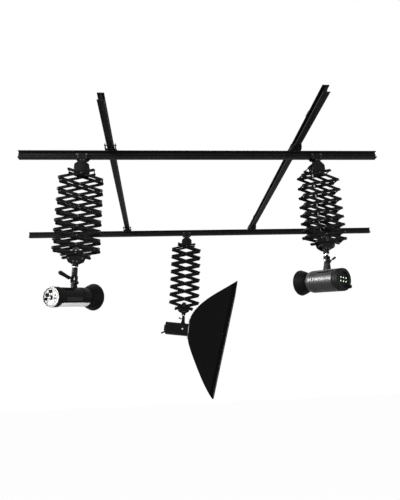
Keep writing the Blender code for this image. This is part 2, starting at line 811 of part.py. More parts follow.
def centre_head(sizes):
    """A boxy moulded body with a rear stub and a round front spigot for the speedring."""
    radius = sizes["radius"]
    back = sizes["back"]
    front = sizes["front"]
    turn = along_beam(sizes["hang"])
    shell = loft([(back + 0.012, 0.046, 0.046), (back + 0.022, radius, radius), (front, radius, radius)], 0.018)
    made = [
        placed(shell, turn),
        lug(sizes["hang"] - radius + 0.006, 0.010),
        placed(slab(ring(HEAD_SPIGOT, 20), front - 0.002, front + HEAD_SPIGOT_DEPTH), turn),
        turned([(0, front + 0.020), (0.027, front + 0.020), (0.024, front + 0.055), (0, front + 0.066)], 16, turn),
        placed(slab(rounded(0.030, 0.030, 0.008), back, back + 0.014), turn),
    ]
    return fused(made)


def loft(stations, corner):
    """A closed skin through rounded rectangles. A station is (height, half width, half height)."""
    bm = bmesh.new()
    loops = []
    for level, half_width, half_height in stations:
        loops.append(loop(bm, rounded(half_width, half_height, corner), level))
    for lower, upper in zip(loops, loops[1:]):
        join_loops(bm, lower, upper)
    for ends in (loops[0], loops[-1]):
        bmesh.ops.contextual_create(bm, geom=ends)
    bmesh.ops.recalc_face_normals(bm, faces=bm.faces[:])
    return bm


def reflector(sizes):
    """A flared bell in front of the head, open at both ends."""
    start = sizes["front"] + GAP
    end = start + REFLECTOR_LENGTH
    steps = 4
    wall = REFLECTOR_WALL
    outer = []
    for i in range(steps + 1):
        share = i / steps
        flare = REFLECTOR_NECK + (REFLECTOR_MOUTH - REFLECTOR_NECK) * share**0.62
        outer.append((flare, start + 0.010 + (end - start - 0.010) * share))
    inner = [(radius - wall, height) for radius, height in reversed(outer)]
    profile = [(0.034, start), (REFLECTOR_NECK, start), *outer, *inner, (0.034, start + wall)]
    return plain(turned(profile, 16, along_beam(sizes["hang"])))


def speedring(sizes):
    """A ring on the head's front spigot, with four rod sockets for the softbox."""
    start = sizes["front"] + GAP
    turn = along_beam(sizes["hang"])
    hole = ring(hole_for(HEAD_SPIGOT, 20), 20)
    made = [slab(ring(SPEEDRING_RADIUS, 20), start, start + SPEEDRING_DEPTH - 0.0005, [hole], turn)]
    width = ROD_SOCKET_WIDTH / 2
    for i in range(4):
        spoke = turn @ turn_z(45 + 90 * i)
        socket = rectangle(SPEEDRING_RADIUS - 0.010, ROD_SOCKET_REACH, -width, width)
        made.append(placed(slab(socket, start + 0.002, start + SPEEDRING_DEPTH), spoke))
    return fused(made)


def softbox(sizes):
    """A cloth box on bowed ribs that droops a little: a thin skin, open behind, its front cloth set back."""
    start = sizes["front"] + SPEEDRING_DEPTH + 2 * GAP
    wall = SOFTBOX_WALL
    steps = 6
    outer = [softbox_station(start, i / steps) for i in range(steps + 1)]
    inner = [softbox_station(start, i / steps, wall) for i in range(steps)]
    rim = softbox_station(start, 1.0, wall)
    face = softbox_station(start, 1.0 - SOFTBOX_RECESS / SOFTBOX_DEPTH, wall)
    back = softbox_station(start, 1.0 - (SOFTBOX_RECESS + wall) / SOFTBOX_DEPTH, wall)
    bm = bmesh.new()
    loops = {}
    for side, stations in (("outer", [*outer, rim, face]), ("inner", [*inner, back])):
        loops[side] = [loop(bm, rounded(w, h, SOFTBOX_CORNER), level) for level, w, h, share in stations]
        for edges, (level, w, h, share) in zip(loops[side], stations):
            verts = [edge.verts[0] for edge in edges]
            drop = math.sin(share * math.pi / 2)
            bend = Matrix.Rotation(math.radians(SOFTBOX_DROOP) * drop, 3, "X")
            bmesh.ops.translate(bm, verts=verts, vec=(0, -SOFTBOX_SAG * drop, 0))
            bmesh.ops.rotate(bm, verts=verts, cent=(0, 0, start), matrix=bend)
        for lower, upper in zip(loops[side], loops[side][1:]):
            join_loops(bm, lower, upper)
        bmesh.ops.contextual_create(bm, geom=loops[side][-1])
    join_loops(bm, loops["outer"][0], loops["inner"][0])
    bmesh.ops.recalc_face_normals(bm, faces=bm.faces[:])
    bm.transform(along_beam(sizes["hang"]) @ turn_z(90))
    return plain(bm)


def softbox_station(start, share, inset=0.0):
    """Level, half width and half height of the cloth at a share of its depth, and that share."""
    grow = share**SOFTBOX_BOW
    half_width = SOFTBOX_REAR + (SOFTBOX_HALF_WIDTH - SOFTBOX_REAR) * grow - inset
    half_height = SOFTBOX_REAR + (SOFTBOX_HALF_HEIGHT - SOFTBOX_REAR) * grow - inset
    return start + SOFTBOX_DEPTH * share, half_width, half_height, share


def build_rails(finishes):
    """The fixed rails and their ceiling brackets, and the two cross rails with their junction carriages."""
    top = -CEILING_BRACKET_HEIGHT
    fixed_low = top - RAIL_HEIGHT
    cross_low = fixed_low - CROSS_RAIL_DROP - RAIL_HEIGHT
    bracket = ceiling_bracket()
    for name, x in (("left", -FIXED_RAIL_SPACING / 2), ("right", FIXED_RAIL_SPACING / 2)):
        start = FIXED_RAIL_START[name]
        end = start + FIXED_RAIL_LENGTH
        rail = plain(across_y(rail_outline(), start, end, [screw_port()]))
        piece(f"fixed_rail_{name}", rail, finishes["rail"], turn=shift(x, 0, fixed_low))
        for place, y in (("front", start + BRACKET_INSET), ("rear", end - BRACKET_INSET)):
            node = f"ceiling_bracket_{place}_{name}"
            piece(node, bracket.copy(), finishes["steel"], turn=shift(x, y, top))
    junction = junction_carriage()
    slides = {}
    for name, y in (("front", 0.0), ("rear", REAR_RAIL_Y)):
        slides[name] = pivot(f"{name}_rail_slide", shift(0, y, cross_low))
        rail = plain(across_x(rail_outline(), *CROSS_RAIL_SPAN[name], [screw_port()]))
        piece(f"{name}_cross_rail", rail, finishes["rail"], slides[name])
        for side, x in (("left", -FIXED_RAIL_SPACING / 2), ("right", FIXED_RAIL_SPACING / 2)):
            turn = shift(x, 0, fixed_low - cross_low)
            piece(f"junction_carriage_{name}_{side}", junction.copy(), finishes["carriage"], slides[name], turn)
    return slides


def build_scissor(name, sizes, top, finishes):
    """The arms of a pantograph as separate pieces, each hung on the one before it. Returns the last arm."""
    angle = stage_angle(sizes["reach"])
    heights = crossings(sizes["reach"], 0.0)
    meshes = {}
    for kind in ("a", "b"):
        for ends in ((True, False), (False, False), (False, True)):
            meshes[kind, ends] = arm(kind, *ends)
    turns = {}
    arms = {}
    for i, height in enumerate(heights):
        main, partner = ("a", "b") if i % 2 == 0 else ("b", "a")
        for kind in (main, partner):
            ends = (i == 0, i == STAGES)
            hung = kind == main and i > 0
            offset = ARM_LENGTH / 2 if hung else 0.0
            mesh = meshes[kind, ends].copy()
            mesh.transform(shift(-offset, 0, 0))
            turn = shift(0, 0, height) @ arm_turn(kind, angle) @ shift(offset, 0, 0)
            if i == 0:
                parent, base = top, Matrix.Identity(4)
            elif kind == main:
                parent, base = arms[partner, i - 1], turns[partner, i - 1]
            else:
                parent, base = arms[main, i], turns[main, i]
            arms[kind, i] = piece(f"{name}_arm_{kind}{i}", mesh, finishes["arm"], parent, base.inverted() @ turn)
            turns[kind, i] = turn
    return arms["a", STAGES], turns["a", STAGES]


def build_pantograph(name, slides, finishes):
    sizes = PANTOGRAPHS[name]
    slide = pivot(f"{name}_carriage_slide", shift(sizes["along"], 0, 0), slides[sizes["rail"]])
    piece(f"{name}_carriage", pantograph_carriage(), finishes["carriage"], slide)
    collar = -CARRIAGE_DROP - GAP - COLLAR_RISE
    pan = pivot(f"{name}_pan", shift(0, 0, collar) @ turn_z(sizes["pan"]), slide)
    piece(f"{name}_top_bracket", top_bracket(sizes["lean"]), finishes["bracket"], pan)
    top = pivot(f"{name}_top_pivot", turn_y(sizes["lean"]) @ shift(0, 0, -TOP_HEIGHT), pan)
    piece(f"{name}_spring_strip", spring_strip(sizes["reach"]), finishes["spring"], top)
    foot = shift(0, 0, -sizes["reach"])
    if name == "centre":
        last, turn = build_scissor(name, sizes, top, finishes)
        end = pivot(f"{name}_end_pivot", turn.inverted() @ foot, last)
    else:
        piece(f"{name}_lattice", lattice(sizes["reach"], sizes["taper"]), finishes["arm"], top)
        end = pivot(f"{name}_extension", foot, top)
    piece(f"{name}_bottom_bracket", bottom_bracket(SWIVELS[name]["socket"]), finishes["bracket"], end)
    drum = pivot(f"{name}_drum_axle", shift(0, 0, DRUM_RISE), end)
    piece(f"{name}_spring_drum", spring_drum(), finishes["spring"], drum, smooth=True)
    head = HEADS[name]
    heading = head["yaw"] - sizes["pan"]
    spigot = pivot(f"{name}_spigot", shift(0, 0, -APEX_DROP) @ turn_z(heading), end)
    piece(f"{name}_swivel", swivel(SWIVELS[name]), finishes["clamp"], spigot)
    leaning = sizes["lean"] * math.cos(math.radians(heading))
    bolt = pivot(f"{name}_tilt_bolt", shift(0, 0, -SWIVELS[name]["drop"]) @ turn_y(-head["rise"] - leaning), spigot)
    lamp = {"left": left_head, "right": right_head, "centre": centre_head}[name]
    piece(f"{name}_head", lamp(head), finishes[f"{name}_head"], bolt, smooth=True)
    handle = pivot(f"{name}_lever_pivot", shift(0, 0, -SWIVELS[name]["drop"]), spigot)
    piece(f"{name}_tilt_lever", lever(LEVERS[name]), finishes["grip"], handle, smooth=True)
    if name == "centre":
        piece("centre_speedring", speedring(head), finishes["steel"], bolt)
        piece("centre_softbox", softbox(head), finishes["softbox"], bolt, smooth=True)
    else:
        piece(f"{name}_reflector", reflector(head), finishes["reflector"], bolt, smooth=True)


def main():
    clear_scene()
    finishes = {
        "rail": material("rail_black", (0.030, 0.030, 0.032), 0.38, 0.6),
        "carriage": material("carriage_black", (0.035, 0.035, 0.037), 0.45, 0.3),
        "steel": material("zinc_steel", (0.62, 0.63, 0.64), 0.35, 0.9),
        "bracket": material("bracket_black", (0.040, 0.040, 0.042), 0.5, 0.2),
        "arm": material("arm_black", (0.035, 0.035, 0.037), 0.45, 0.3),
        "spring": material("spring_steel", (0.45, 0.46, 0.47), 0.3, 0.9),
        "clamp": material("clamp_black", (0.030, 0.030, 0.030), 0.5, 0.2),
        "grip": material("grip_black", (0.020, 0.020, 0.020), 0.6),
        "left_head": material("head_satin", (0.05, 0.05, 0.052), 0.4, 0.2),
        "right_head": material("head_dark", (0.10, 0.10, 0.11), 0.3, 0.2),
        "centre_head": material("head_black", (0.05, 0.05, 0.055), 0.4, 0.1),
        "reflector": material("reflector_black", (0.03, 0.03, 0.03), 0.35, 0.4),
        "softbox": material("softbox_cloth", (0.03, 0.03, 0.03), 0.8),
    }
    slides = build_rails(finishes)
    for name in PANTOGRAPHS:
        build_pantograph(name, slides, finishes)
    bpy.context.view_layer.update()


main()
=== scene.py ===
"""Looks of the studio ceiling rail system: camera, light, finishes and the detailed pieces on the solids."""

import math

import bmesh
import bpy
from mathutils import Matrix, Vector, noise


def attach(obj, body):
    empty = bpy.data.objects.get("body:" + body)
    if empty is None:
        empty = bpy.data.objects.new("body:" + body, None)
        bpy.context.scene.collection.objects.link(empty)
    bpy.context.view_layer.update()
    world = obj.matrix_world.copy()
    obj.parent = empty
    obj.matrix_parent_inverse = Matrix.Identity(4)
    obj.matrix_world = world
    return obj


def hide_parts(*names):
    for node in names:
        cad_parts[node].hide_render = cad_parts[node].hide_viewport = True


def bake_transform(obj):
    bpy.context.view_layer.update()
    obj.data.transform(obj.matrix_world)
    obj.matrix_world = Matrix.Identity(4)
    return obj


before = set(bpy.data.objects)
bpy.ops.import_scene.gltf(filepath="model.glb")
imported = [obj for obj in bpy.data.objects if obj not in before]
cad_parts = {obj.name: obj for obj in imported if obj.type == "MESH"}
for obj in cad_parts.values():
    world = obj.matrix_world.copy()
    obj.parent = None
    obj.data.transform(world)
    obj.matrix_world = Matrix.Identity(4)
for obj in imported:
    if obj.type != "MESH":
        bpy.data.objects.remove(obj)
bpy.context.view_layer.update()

# Sizes shared with the solids, in metres and degrees
GAP = 0.0003
RAIL_WIDTH = 0.044
RAIL_HEIGHT = 0.054
FIXED_LOW = -0.066
CROSS_LOW = -0.134
FIXED_RAIL_X = 0.685
FIXED_RAIL_LENGTH = 2.52
FIXED_RAILS = (("left", -FIXED_RAIL_X, -0.594), ("right", FIXED_RAIL_X, -0.699))
REAR_RAIL_Y = 1.715
CROSS_RAILS = (("front", 0.0, -1.331, 1.308), ("rear", REAR_RAIL_Y, -1.714, 2.037))
ROLLER_RADIUS = 0.0137
ROLLER_HEIGHT = 0.019
ARM_LENGTH = 0.306
BAR_HEIGHT = 0.020
BAR_WALL = 0.0015
BAR_DEPTH = 0.0067
BAR_END = 0.009
BAR_LIP_INSET = 0.006
EAR_LENGTH = 0.100
EAR_ROD = 0.0915
LAYER_PLANE = 0.034
LAYER_GAP = 0.0006
ARM_OUTSIDE = LAYER_PLANE + LAYER_GAP / 2 + BAR_WALL
ARM_WITHIN = LAYER_PLANE - LAYER_GAP / 2 - BAR_WALL
PIN_RADIUS = 0.004
STAGES = 8
PLATE = 0.0025
PLATE_INNER = 0.0242
PLATE_OUTER = PLATE_INNER + PLATE
PLATE_TIE = 0.0245
BRACKET_BLOCK = (0.0195, 0.0252)
PAN_DROP = 0.0185
TOP_HEIGHT = 0.112
APEX_DROP = 0.066
SOCKET_RADIUS = 0.021
DRUM_RISE = 0.019
DRUM_HALF_WIDTH = 0.018
DRUM_RADIUS = 0.025
BAND_WIDTH = 0.016
BAND_FOOT_X = -0.0231
HOOK = (-0.048, 0.030)
FORK_INNER = 0.0137
FORK_CHEEK = 0.006
FORK_HALF = 0.014
NAMES = ("left", "right", "centre")
PANTOGRAPHS = {
    "left": {"y": 0.0, "along": -0.883, "pan": 4.6, "lean": 1.7, "reach": 0.588, "taper": 0.21},
    "right": {"y": 0.0, "along": 0.838, "pan": 11.0, "lean": 1.3, "reach": 0.5295, "taper": 0.29},
    "centre": {"y": REAR_RAIL_Y, "along": -0.042, "pan": 1.5, "lean": 4.3, "reach": 0.6555, "taper": 0.0},
}
SWIVELS = {
    "left": {"socket": 0.021, "ring": 0.008, "neck": 0.019, "bridge": 0.085, "drop": 0.134},
    "right": {"socket": 0.024, "ring": 0.010, "neck": 0.013, "bridge": 0.042, "drop": 0.076},
    "centre": {"socket": 0.021, "ring": 0.008, "neck": 0.013, "bridge": 0.040, "drop": 0.073},
}
HEADS = {
    "left": {"yaw": 61.0, "rise": 9.2, "radius": 0.064, "back": -0.225, "front": 0.113, "hang": 0.091},
    "right": {"yaw": 122.0, "rise": 8.2, "radius": 0.078, "back": -0.143, "front": 0.143, "hang": 0.140},
    "centre": {"yaw": -7.0, "rise": -8.3, "radius": 0.059, "back": -0.186, "front": 0.064, "hang": 0.098},
}
REFLECTOR_MOUTH = 0.092
REFLECTOR_NECK = 0.056
REFLECTOR_LENGTH = 0.085
REFLECTOR_WALL = 0.0025
SPEEDRING_RADIUS = 0.076
SPEEDRING_DEPTH = 0.012
ROD_SOCKET_REACH = 0.132
HEAD_SPIGOT = 0.050
SOFTBOX_REAR = 0.100
SOFTBOX_HALF_WIDTH = 0.370
SOFTBOX_HALF_HEIGHT = 0.560
SOFTBOX_DEPTH = 0.376
SOFTBOX_BOW = 0.72
SOFTBOX_DROOP = 7.2
SOFTBOX_SAG = 0.038
SOFTBOX_RECESS = 0.035
LEVERS = {
    "left": {"rod": 0.082, "grip": 0.100, "radius": 0.0135, "angle": 190},
    "right": {"rod": 0.026, "grip": 0.030, "radius": 0.008, "angle": 200},
    "centre": {"rod": 0.024, "grip": 0.026, "radius": 0.008, "angle": 200},
}
LEVER_HUB = 0.011
LEVER_HUB_DEPTH = 0.0125

# Choices of the scene alone: edges, rivets as (radius, height), wheels, cloth, vents as angles, floor
LEVEL = 1e-6
CORNER = 0.7
SHARP_ANGLE = math.radians(32)
PIN_HEAD = (0.0068, 0.0028)
ARM_RIVET = (0.0062, 0.0026)
HOOK_RIVET = (0.0062, 0.0022)
COLLAR_RIVET = (0.0055, 0.0020)
FLUSH_RIVET = (0.0055, 0.00025)
PANEL_RIVET = (0.0024, 0.0012)
WHEEL_SEAT = 0.0103
AXLE_SEAT = 0.0113
LEAF_LENGTH = 0.236
CLOTH_EASE = 1.25
HEM_START = 0.925
VENT_SPANS = ((126, 138), (150, 162), (198, 210), (222, 234))
FLOOR_DROP = 2.75
FLOOR_SIZE = 40.0

STILL = Matrix.Identity(4)
UPRIGHT = Matrix(((1, 0, 0, 0), (0, 0, -1, 0), (0, 1, 0, 0), (0, 0, 0, 1)))
SIDEWAYS = Matrix(((0, 0, 1, 0), (1, 0, 0, 0), (0, 1, 0, 0), (0, 0, 0, 1)))
TO_X = Matrix.Rotation(math.pi / 2, 4, "Y")
TO_MINUS_X = Matrix.Rotation(-math.pi / 2, 4, "Y")
TO_Y = Matrix.Rotation(-math.pi / 2, 4, "X")
TO_MINUS_Y = Matrix.Rotation(math.pi / 2, 4, "X")
FLIP = Matrix.Rotation(math.pi, 4, "X")


def shift(x, y, z):
    return Matrix.Translation((x, y, z))


def turn_y(degrees):
    return Matrix.Rotation(math.radians(degrees), 4, "Y")


def turn_z(degrees):
    return Matrix.Rotation(math.radians(degrees), 4, "Z")


def looking(place, heading, axis="Z"):
    """A turn at a place, with one axis along a heading."""
    return Matrix.Translation(place) @ heading.to_track_quat(axis, "Y").to_matrix().to_4x4()


def joint_frames():
    """The same joint frames that the solids hang in, for each pantograph."""
    frames = {}
    for name in NAMES:
        sizes = PANTOGRAPHS[name]
        head = HEADS[name]
        heading = head["yaw"] - sizes["pan"]
        leaning = sizes["lean"] * math.cos(math.radians(heading))
        carriage = shift(sizes["along"], sizes["y"], CROSS_LOW)
        pan = carriage @ shift(0, 0, -PAN_DROP) @ turn_z(sizes["pan"])
        top = pan @ turn_y(sizes["lean"]) @ shift(0, 0, -TOP_HEIGHT)
        bottom = top @ shift(0, 0, -sizes["reach"])
        spigot = bottom @ shift(0, 0, -APEX_DROP) @ turn_z(heading)
        lever = spigot @ shift(0, 0, -SWIVELS[name]["drop"])
        bolt = lever @ turn_y(-head["rise"] - leaning)
        frames[name] = {
            "carriage": carriage,
            "pan": pan,
            "top": top,
            "bottom": bottom,
            "drum": bottom @ shift(0, 0, DRUM_RISE),
            "spigot": spigot,
            "lever": lever,
            "beam": bolt @ shift(0, 0, -head["hang"]) @ TO_X,
        }
    return frames


FRAMES = joint_frames()


class Value:
    """A shader socket that takes part in Python arithmetic."""

    def __init__(self, nodes, socket):
        self.nodes = nodes
        self.socket = socket

    def __add__(self, other):
        return self.nodes.maths("ADD", self, other)

    def __sub__(self, other):
        return self.nodes.maths("SUBTRACT", self, other)

    def __mul__(self, other):
        return self.nodes.maths("MULTIPLY", self, other)

    def __gt__(self, other):
        return self.nodes.maths("GREATER_THAN", self, other)


class Nodes:
    """A node tree that grows node by node."""

    def __init__(self, tree):
        self.tree = tree

    def feed(self, socket, value):
        if isinstance(value, Value):
            self.tree.links.new(value.socket, socket)
        else:
            socket.default_value = value

    def add(self, kind, settings, inputs, output=0):
        """A node of one kind with its settings and the values or links of its sockets."""
        node = self.tree.nodes.new(kind)
        for key, value in settings.items():
            setattr(node, key, value)
        for key, value in inputs.items():
            self.feed(node.inputs[key], value)
        return Value(self, node.outputs[output])

    def maths(self, operation, first, second):
        return self.add("ShaderNodeMath", {"operation": operation}, {0: first, 1: second})


class Look(Nodes):
    """A material, with the few nodes that give its finish."""

    def __init__(self, name, colour, roughness, metallic=0.0, **fixed):
        self.material = bpy.data.materials.new(name)
        self.material.use_nodes = True
        super().__init__(self.material.node_tree)
        self.shader = self.tree.nodes["Principled BSDF"]
        self.give("Base Color", (*colour, 1.0))
        self.give("Roughness", roughness)
        self.give("Metallic", metallic)
        for socket, value in fixed.items():
            self.give(socket.replace("_", " "), value)
        self.material.diffuse_color = (*colour, 1.0)

    def give(self, socket, value):
        self.feed(self.shader.inputs[socket], value)

    def pattern(self, kind, stretch, settings, **inputs):
        """A texture that keeps to the piece."""
        where = self.add("ShaderNodeTexCoord", {}, {}, "Object")
        inputs["Vector"] = self.add("ShaderNodeMapping", {}, {"Vector": where, "Scale": stretch})
        return self.add(f"ShaderNodeTex{kind}", settings, inputs)

    def grain(self, scale, detail=3.0, stretch=(1.0, 1.0, 1.0)):
        return self.pattern("Noise", stretch, {}, Scale=scale, Detail=detail)

    def cells(self, scale):
        return self.pattern("Voronoi", (1.0, 1.0, 1.0), {}, Scale=scale)

    def wave(self, scale, direction):
        settings = {"wave_type": "BANDS", "bands_direction": direction}
        return self.pattern("Wave", (1.0, 1.0, 1.0), settings, Scale=scale)

    def worn_and_highlit_edges(self, start, gain, scale):
        """A mask of the outer edges, painted lighter as rubbed wear and as a painted highlight along the
        corners, broken up by a grain.
        """
        point = self.add("ShaderNodeNewGeometry", {}, {}, "Pointiness")
        edges = self.add("ShaderNodeClamp", {}, {"Value": (point - start) * gain})
        return edges * (self.grain(scale, 4.0) > 0.6) * 0.25

    def blend(self, share, first, second):
        """A colour between two colours."""
        ends = [colour if isinstance(colour, Value) else (*colour, 1.0) for colour in (first, second)]
        return self.add("ShaderNodeMix", {"data_type": "RGBA"}, {0: share, 6: ends[0], 7: ends[1]}, 2)

    def paint(self, share, first, second):
        self.give("Base Color", self.blend(share, first, second))

    def rough(self, share, low, high):
        self.give("Roughness", share * (high - low) + low)

    def bump(self, height, distance, strength):
        inputs = {"Height": height, "Distance": distance, "Strength": strength}
        self.give("Normal", self.add("ShaderNodeBump", {}, inputs))


# Light grey for the outer edges: partly rubbed wear, partly a painted highlight where the corners catch the
# light.
RUBBED_AND_HIGHLIT = (0.07, 0.07, 0.075)


def drawn_rail(name, stretch):
    """Black anodised extrusion with faint lines along its length, and corners painted lighter as rubbed wear
    and as a painted highlight.
    """
    look = Look(name, (0.006, 0.006, 0.0065), 0.42, Specular_IOR_Level=0.08)
    lines = look.grain(1.0, 4.0, stretch)
    clouds = look.grain(6.0, 2.0)
    tone = look.blend(lines, (0.003, 0.003, 0.0033), (0.009, 0.009, 0.0095))
    # Lighter outer edges: rubbed wear and a painted highlight.
    look.paint(look.worn_and_highlit_edges(0.54, 8.0, 45.0), tone, RUBBED_AND_HIGHLIT)
    look.rough(clouds * 0.6 + lines * 0.4, 0.3, 0.52)
    look.bump(lines, 0.0002, 0.35)
    return look.material


def powder_coat(name, dark, light):
    """Sprayed black paint: a fine orange-peel skin, dusty patches, and edges painted a little lighter as
    rubbed wear and as a painted highlight.
    """
    look = Look(name, dark, 0.45, Specular_IOR_Level=0.05)
    dust = look.grain(16.0, 5.0)
    skin = look.grain(520.0, 2.0)
    # Lighter outer edges: rubbed wear and a painted highlight.
    look.paint(look.worn_and_highlit_edges(0.515, 14.0, 70.0), look.blend(dust, dark, light), RUBBED_AND_HIGHLIT)
    look.rough(dust * 0.7 + skin * 0.3, 0.36, 0.6)
    look.bump(skin, 0.00012, 0.5)
    return look.material


def clouded(name, colour, dark, light, low, high, grain, metallic=1.0, **fixed):
    """Metal or glass whose colour and polish drift between two values, in clouds or in streaks."""
    look = Look(name, colour, 0.3, metallic, **fixed)
    clouds = look.grain(*grain)
    look.paint(clouds, dark, light)
    look.rough(clouds, low, high)
    return look.material


def plated(name, colour, low=0.2, high=0.42, scale=90.0):
    """Zinc plate or bare alloy with small cloudy stains."""
    return clouded(name, colour, [part * 0.72 for part in colour], colour, low, high, (scale, 4.0))


def moulded(name, dark, light, roughness, texture=700.0, coat=0.0, grain=0.4):
    """Moulded plastic with a fine leather grain and faint handling marks."""
    look = Look(name, dark, roughness, Coat_Weight=coat, Coat_Roughness=0.4, Specular_IOR_Level=0.08)
    marks = look.grain(22.0, 5.0)
    look.paint(marks, dark, light)
    look.rough(marks, roughness * 0.8, min(1.0, roughness * 1.3))
    look.bump(look.cells(texture), 0.00008, grain)
    return look.material


def hammered(name):
    """Silver lining of a reflector, dimpled to spread the light."""
    look = Look(name, (0.86, 0.86, 0.85), 0.28, 1.0)
    dimples = look.cells(260.0)
    look.rough(dimples, 0.22, 0.36)
    look.bump(dimples, 0.0008, 0.7)
    return look.material


def woven(name, dark, light, roughness, sheen=0.015, threads=900.0):
    """Coated nylon cloth: crossed threads, soft folds and uneven wear."""
    look = Look(name, dark, roughness, Sheen_Weight=sheen, Sheen_Roughness=0.5, Specular_IOR_Level=0.05)
    crossed = look.wave(threads, "Y") * look.wave(threads, "Z")
    patches = look.grain(5.0, 4.0)
    folds = look.grain(9.0, 3.0, (1.0, 1.0, 0.35))
    look.paint(patches * 0.7 + crossed * 0.3, dark, light)
    look.rough(patches, roughness * 0.85, min(1.0, roughness * 1.15))
    look.bump(crossed * 0.12 + folds, 0.004, 0.35)
    return look.material


def lit(name, colour, strength):
    """A small lamp or backlit key."""
    look = Look(name, colour, 0.35, Coat_Weight=0.4)
    look.give("Emission Color", (*colour, 1.0))
    look.give("Emission Strength", strength)
    return look.material


SOOT = (0.003, 0.003, 0.0032)
FINISHES = {
    "rail_x": drawn_rail("rail_across", (2.5, 620.0, 620.0)),
    "rail_y": drawn_rail("rail_along", (620.0, 2.5, 620.0)),
    "carriage": powder_coat("carriage_black", SOOT, (0.008, 0.008, 0.0085)),
    "bracket": powder_coat("bracket_black", (0.0035, 0.0035, 0.0037), (0.009, 0.009, 0.0095)),
    "arm": powder_coat("arm_black", SOOT, (0.007, 0.007, 0.0075)),
    "clamp": powder_coat("clamp_black", (0.003, 0.003, 0.003), (0.008, 0.008, 0.0085)),
    "zinc": plated("zinc_plate", (0.60, 0.61, 0.62)),
    "dull_zinc": plated("dull_zinc", (0.075, 0.077, 0.08), 0.4, 0.65, 40.0),
    "spring": clouded(
        "spring_steel", (0.34, 0.35, 0.37), (0.22, 0.23, 0.26), (0.46, 0.47, 0.48), 0.2, 0.42,
        (1.0, 3.0, (900.0, 900.0, 7.0)),
    ),
    "wheel": moulded("wheel_nylon", (0.006, 0.006, 0.006), (0.014, 0.014, 0.014), 0.5),
    "grip": moulded("grip_rubber", (0.003, 0.003, 0.003), (0.008, 0.008, 0.008), 0.66, 380.0),
    "body": powder_coat("barrel_black", (0.002, 0.002, 0.0022), (0.005, 0.005, 0.0052)),
    "plate": moulded("side_plate", (0.012, 0.012, 0.0125), (0.020, 0.020, 0.021), 0.42, 900.0),
    "pale": moulded("panel_pale", (0.56, 0.56, 0.55), (0.70, 0.70, 0.69), 0.4, 1100.0),
    "white": moulded("plate_white", (0.80, 0.80, 0.79), (0.88, 0.88, 0.87), 0.4, 1200.0),
    "gloss": moulded(
        "barrel_gloss", (0.006, 0.0062, 0.0064), (0.009, 0.0092, 0.0095), 0.42, 1200.0, coat=0.6, grain=0.0
    ),
    "black": moulded("moulded_black", SOOT, (0.007, 0.007, 0.0072), 0.5, 600.0),
    "slot": moulded("vent_dark", (0.002, 0.002, 0.002), (0.004, 0.004, 0.004), 0.7),
    "satin": powder_coat("reflector_black", (0.0015, 0.0015, 0.0016), (0.004, 0.004, 0.0042)),
    "silver": hammered("reflector_silver"),
    "dome": clouded(
        "dome_opal", (0.9, 0.88, 0.82), (0.84, 0.81, 0.73), (0.94, 0.93, 0.9), 0.22, 0.4, (140.0, 3.0),
        metallic=0.0, Coat_Weight=0.6, Coat_Roughness=0.08,
    ),
    "key": lit("key_green", (0.70, 0.88, 0.66), 0.6),
    "alloy": plated("alloy", (0.40, 0.41, 0.42), 0.3, 0.5, 60.0),
    "cloth": woven("cloth_black", (0.0025, 0.0025, 0.0027), (0.007, 0.007, 0.0073), 0.8),
    "lining": woven("cloth_silver", (0.50, 0.50, 0.51), (0.66, 0.66, 0.67), 0.4, 0.0),
    "diffuser": woven("cloth_white", (0.80, 0.80, 0.79), (0.88, 0.88, 0.87), 0.8, 0.1),
    "hem": woven("cloth_hem", (0.0012, 0.0012, 0.0012), (0.003, 0.003, 0.003), 0.85, 0.0),
    "tape": woven("edge_tape", (0.003, 0.003, 0.003), (0.007, 0.007, 0.007), 0.8, 0.0, 1500.0),
}


def arc(centre, radius, start, end, steps):
    """Points on an arc, with its angles in degrees."""
    turns = [math.radians(start + (end - start) * i / steps) for i in range(steps + 1)]
    return [(centre[0] + radius * math.cos(a), centre[1] + radius * math.sin(a)) for a in turns]


def mirrored(half):
    return half + [(-u, v) for u, v in reversed(half) if u > 1e-9]


def span(edge, axis=2):
    return abs(edge.verts[0].co[axis] - edge.verts[1].co[axis])


def sharp(edges):
    """Those of some edges where the surface turns sharply."""
    return [edge for edge in edges if edge.is_manifold and edge.calc_face_angle(0) > CORNER]


def soften(bm, edges, offset, segments=2):
    """Rounds some edges."""
    how = {"offset_type": "OFFSET", "affect": "EDGES", "profile": 0.5, "material": -1, "clamp_overlap": True}
    bmesh.ops.bevel(bm, geom=edges, offset=offset, segments=segments, **how)


def rod(radius, low, high, sides=20, round_off=0.0):
    """A round bar along Z."""
    bm = bmesh.new()
    size = {"radius1": radius, "radius2": radius, "depth": high - low}
    bmesh.ops.create_cone(bm, cap_ends=True, segments=sides, matrix=shift(0, 0, (low + high) / 2), **size)
    if round_off:
        soften(bm, [edge for edge in bm.edges if span(edge) < LEVEL], round_off)
    return bm


def block(low, high, round_off=0.0):
    """A box between two corners."""
    bm = bmesh.new()
    low = Vector(low)
    high = Vector(high)
    turn = Matrix.Translation((low + high) / 2) @ Matrix.Diagonal((*(high - low), 1.0))
    bmesh.ops.create_cube(bm, size=1.0, matrix=turn)
    if round_off:
        soften(bm, bm.edges[:], round_off)
    return bm


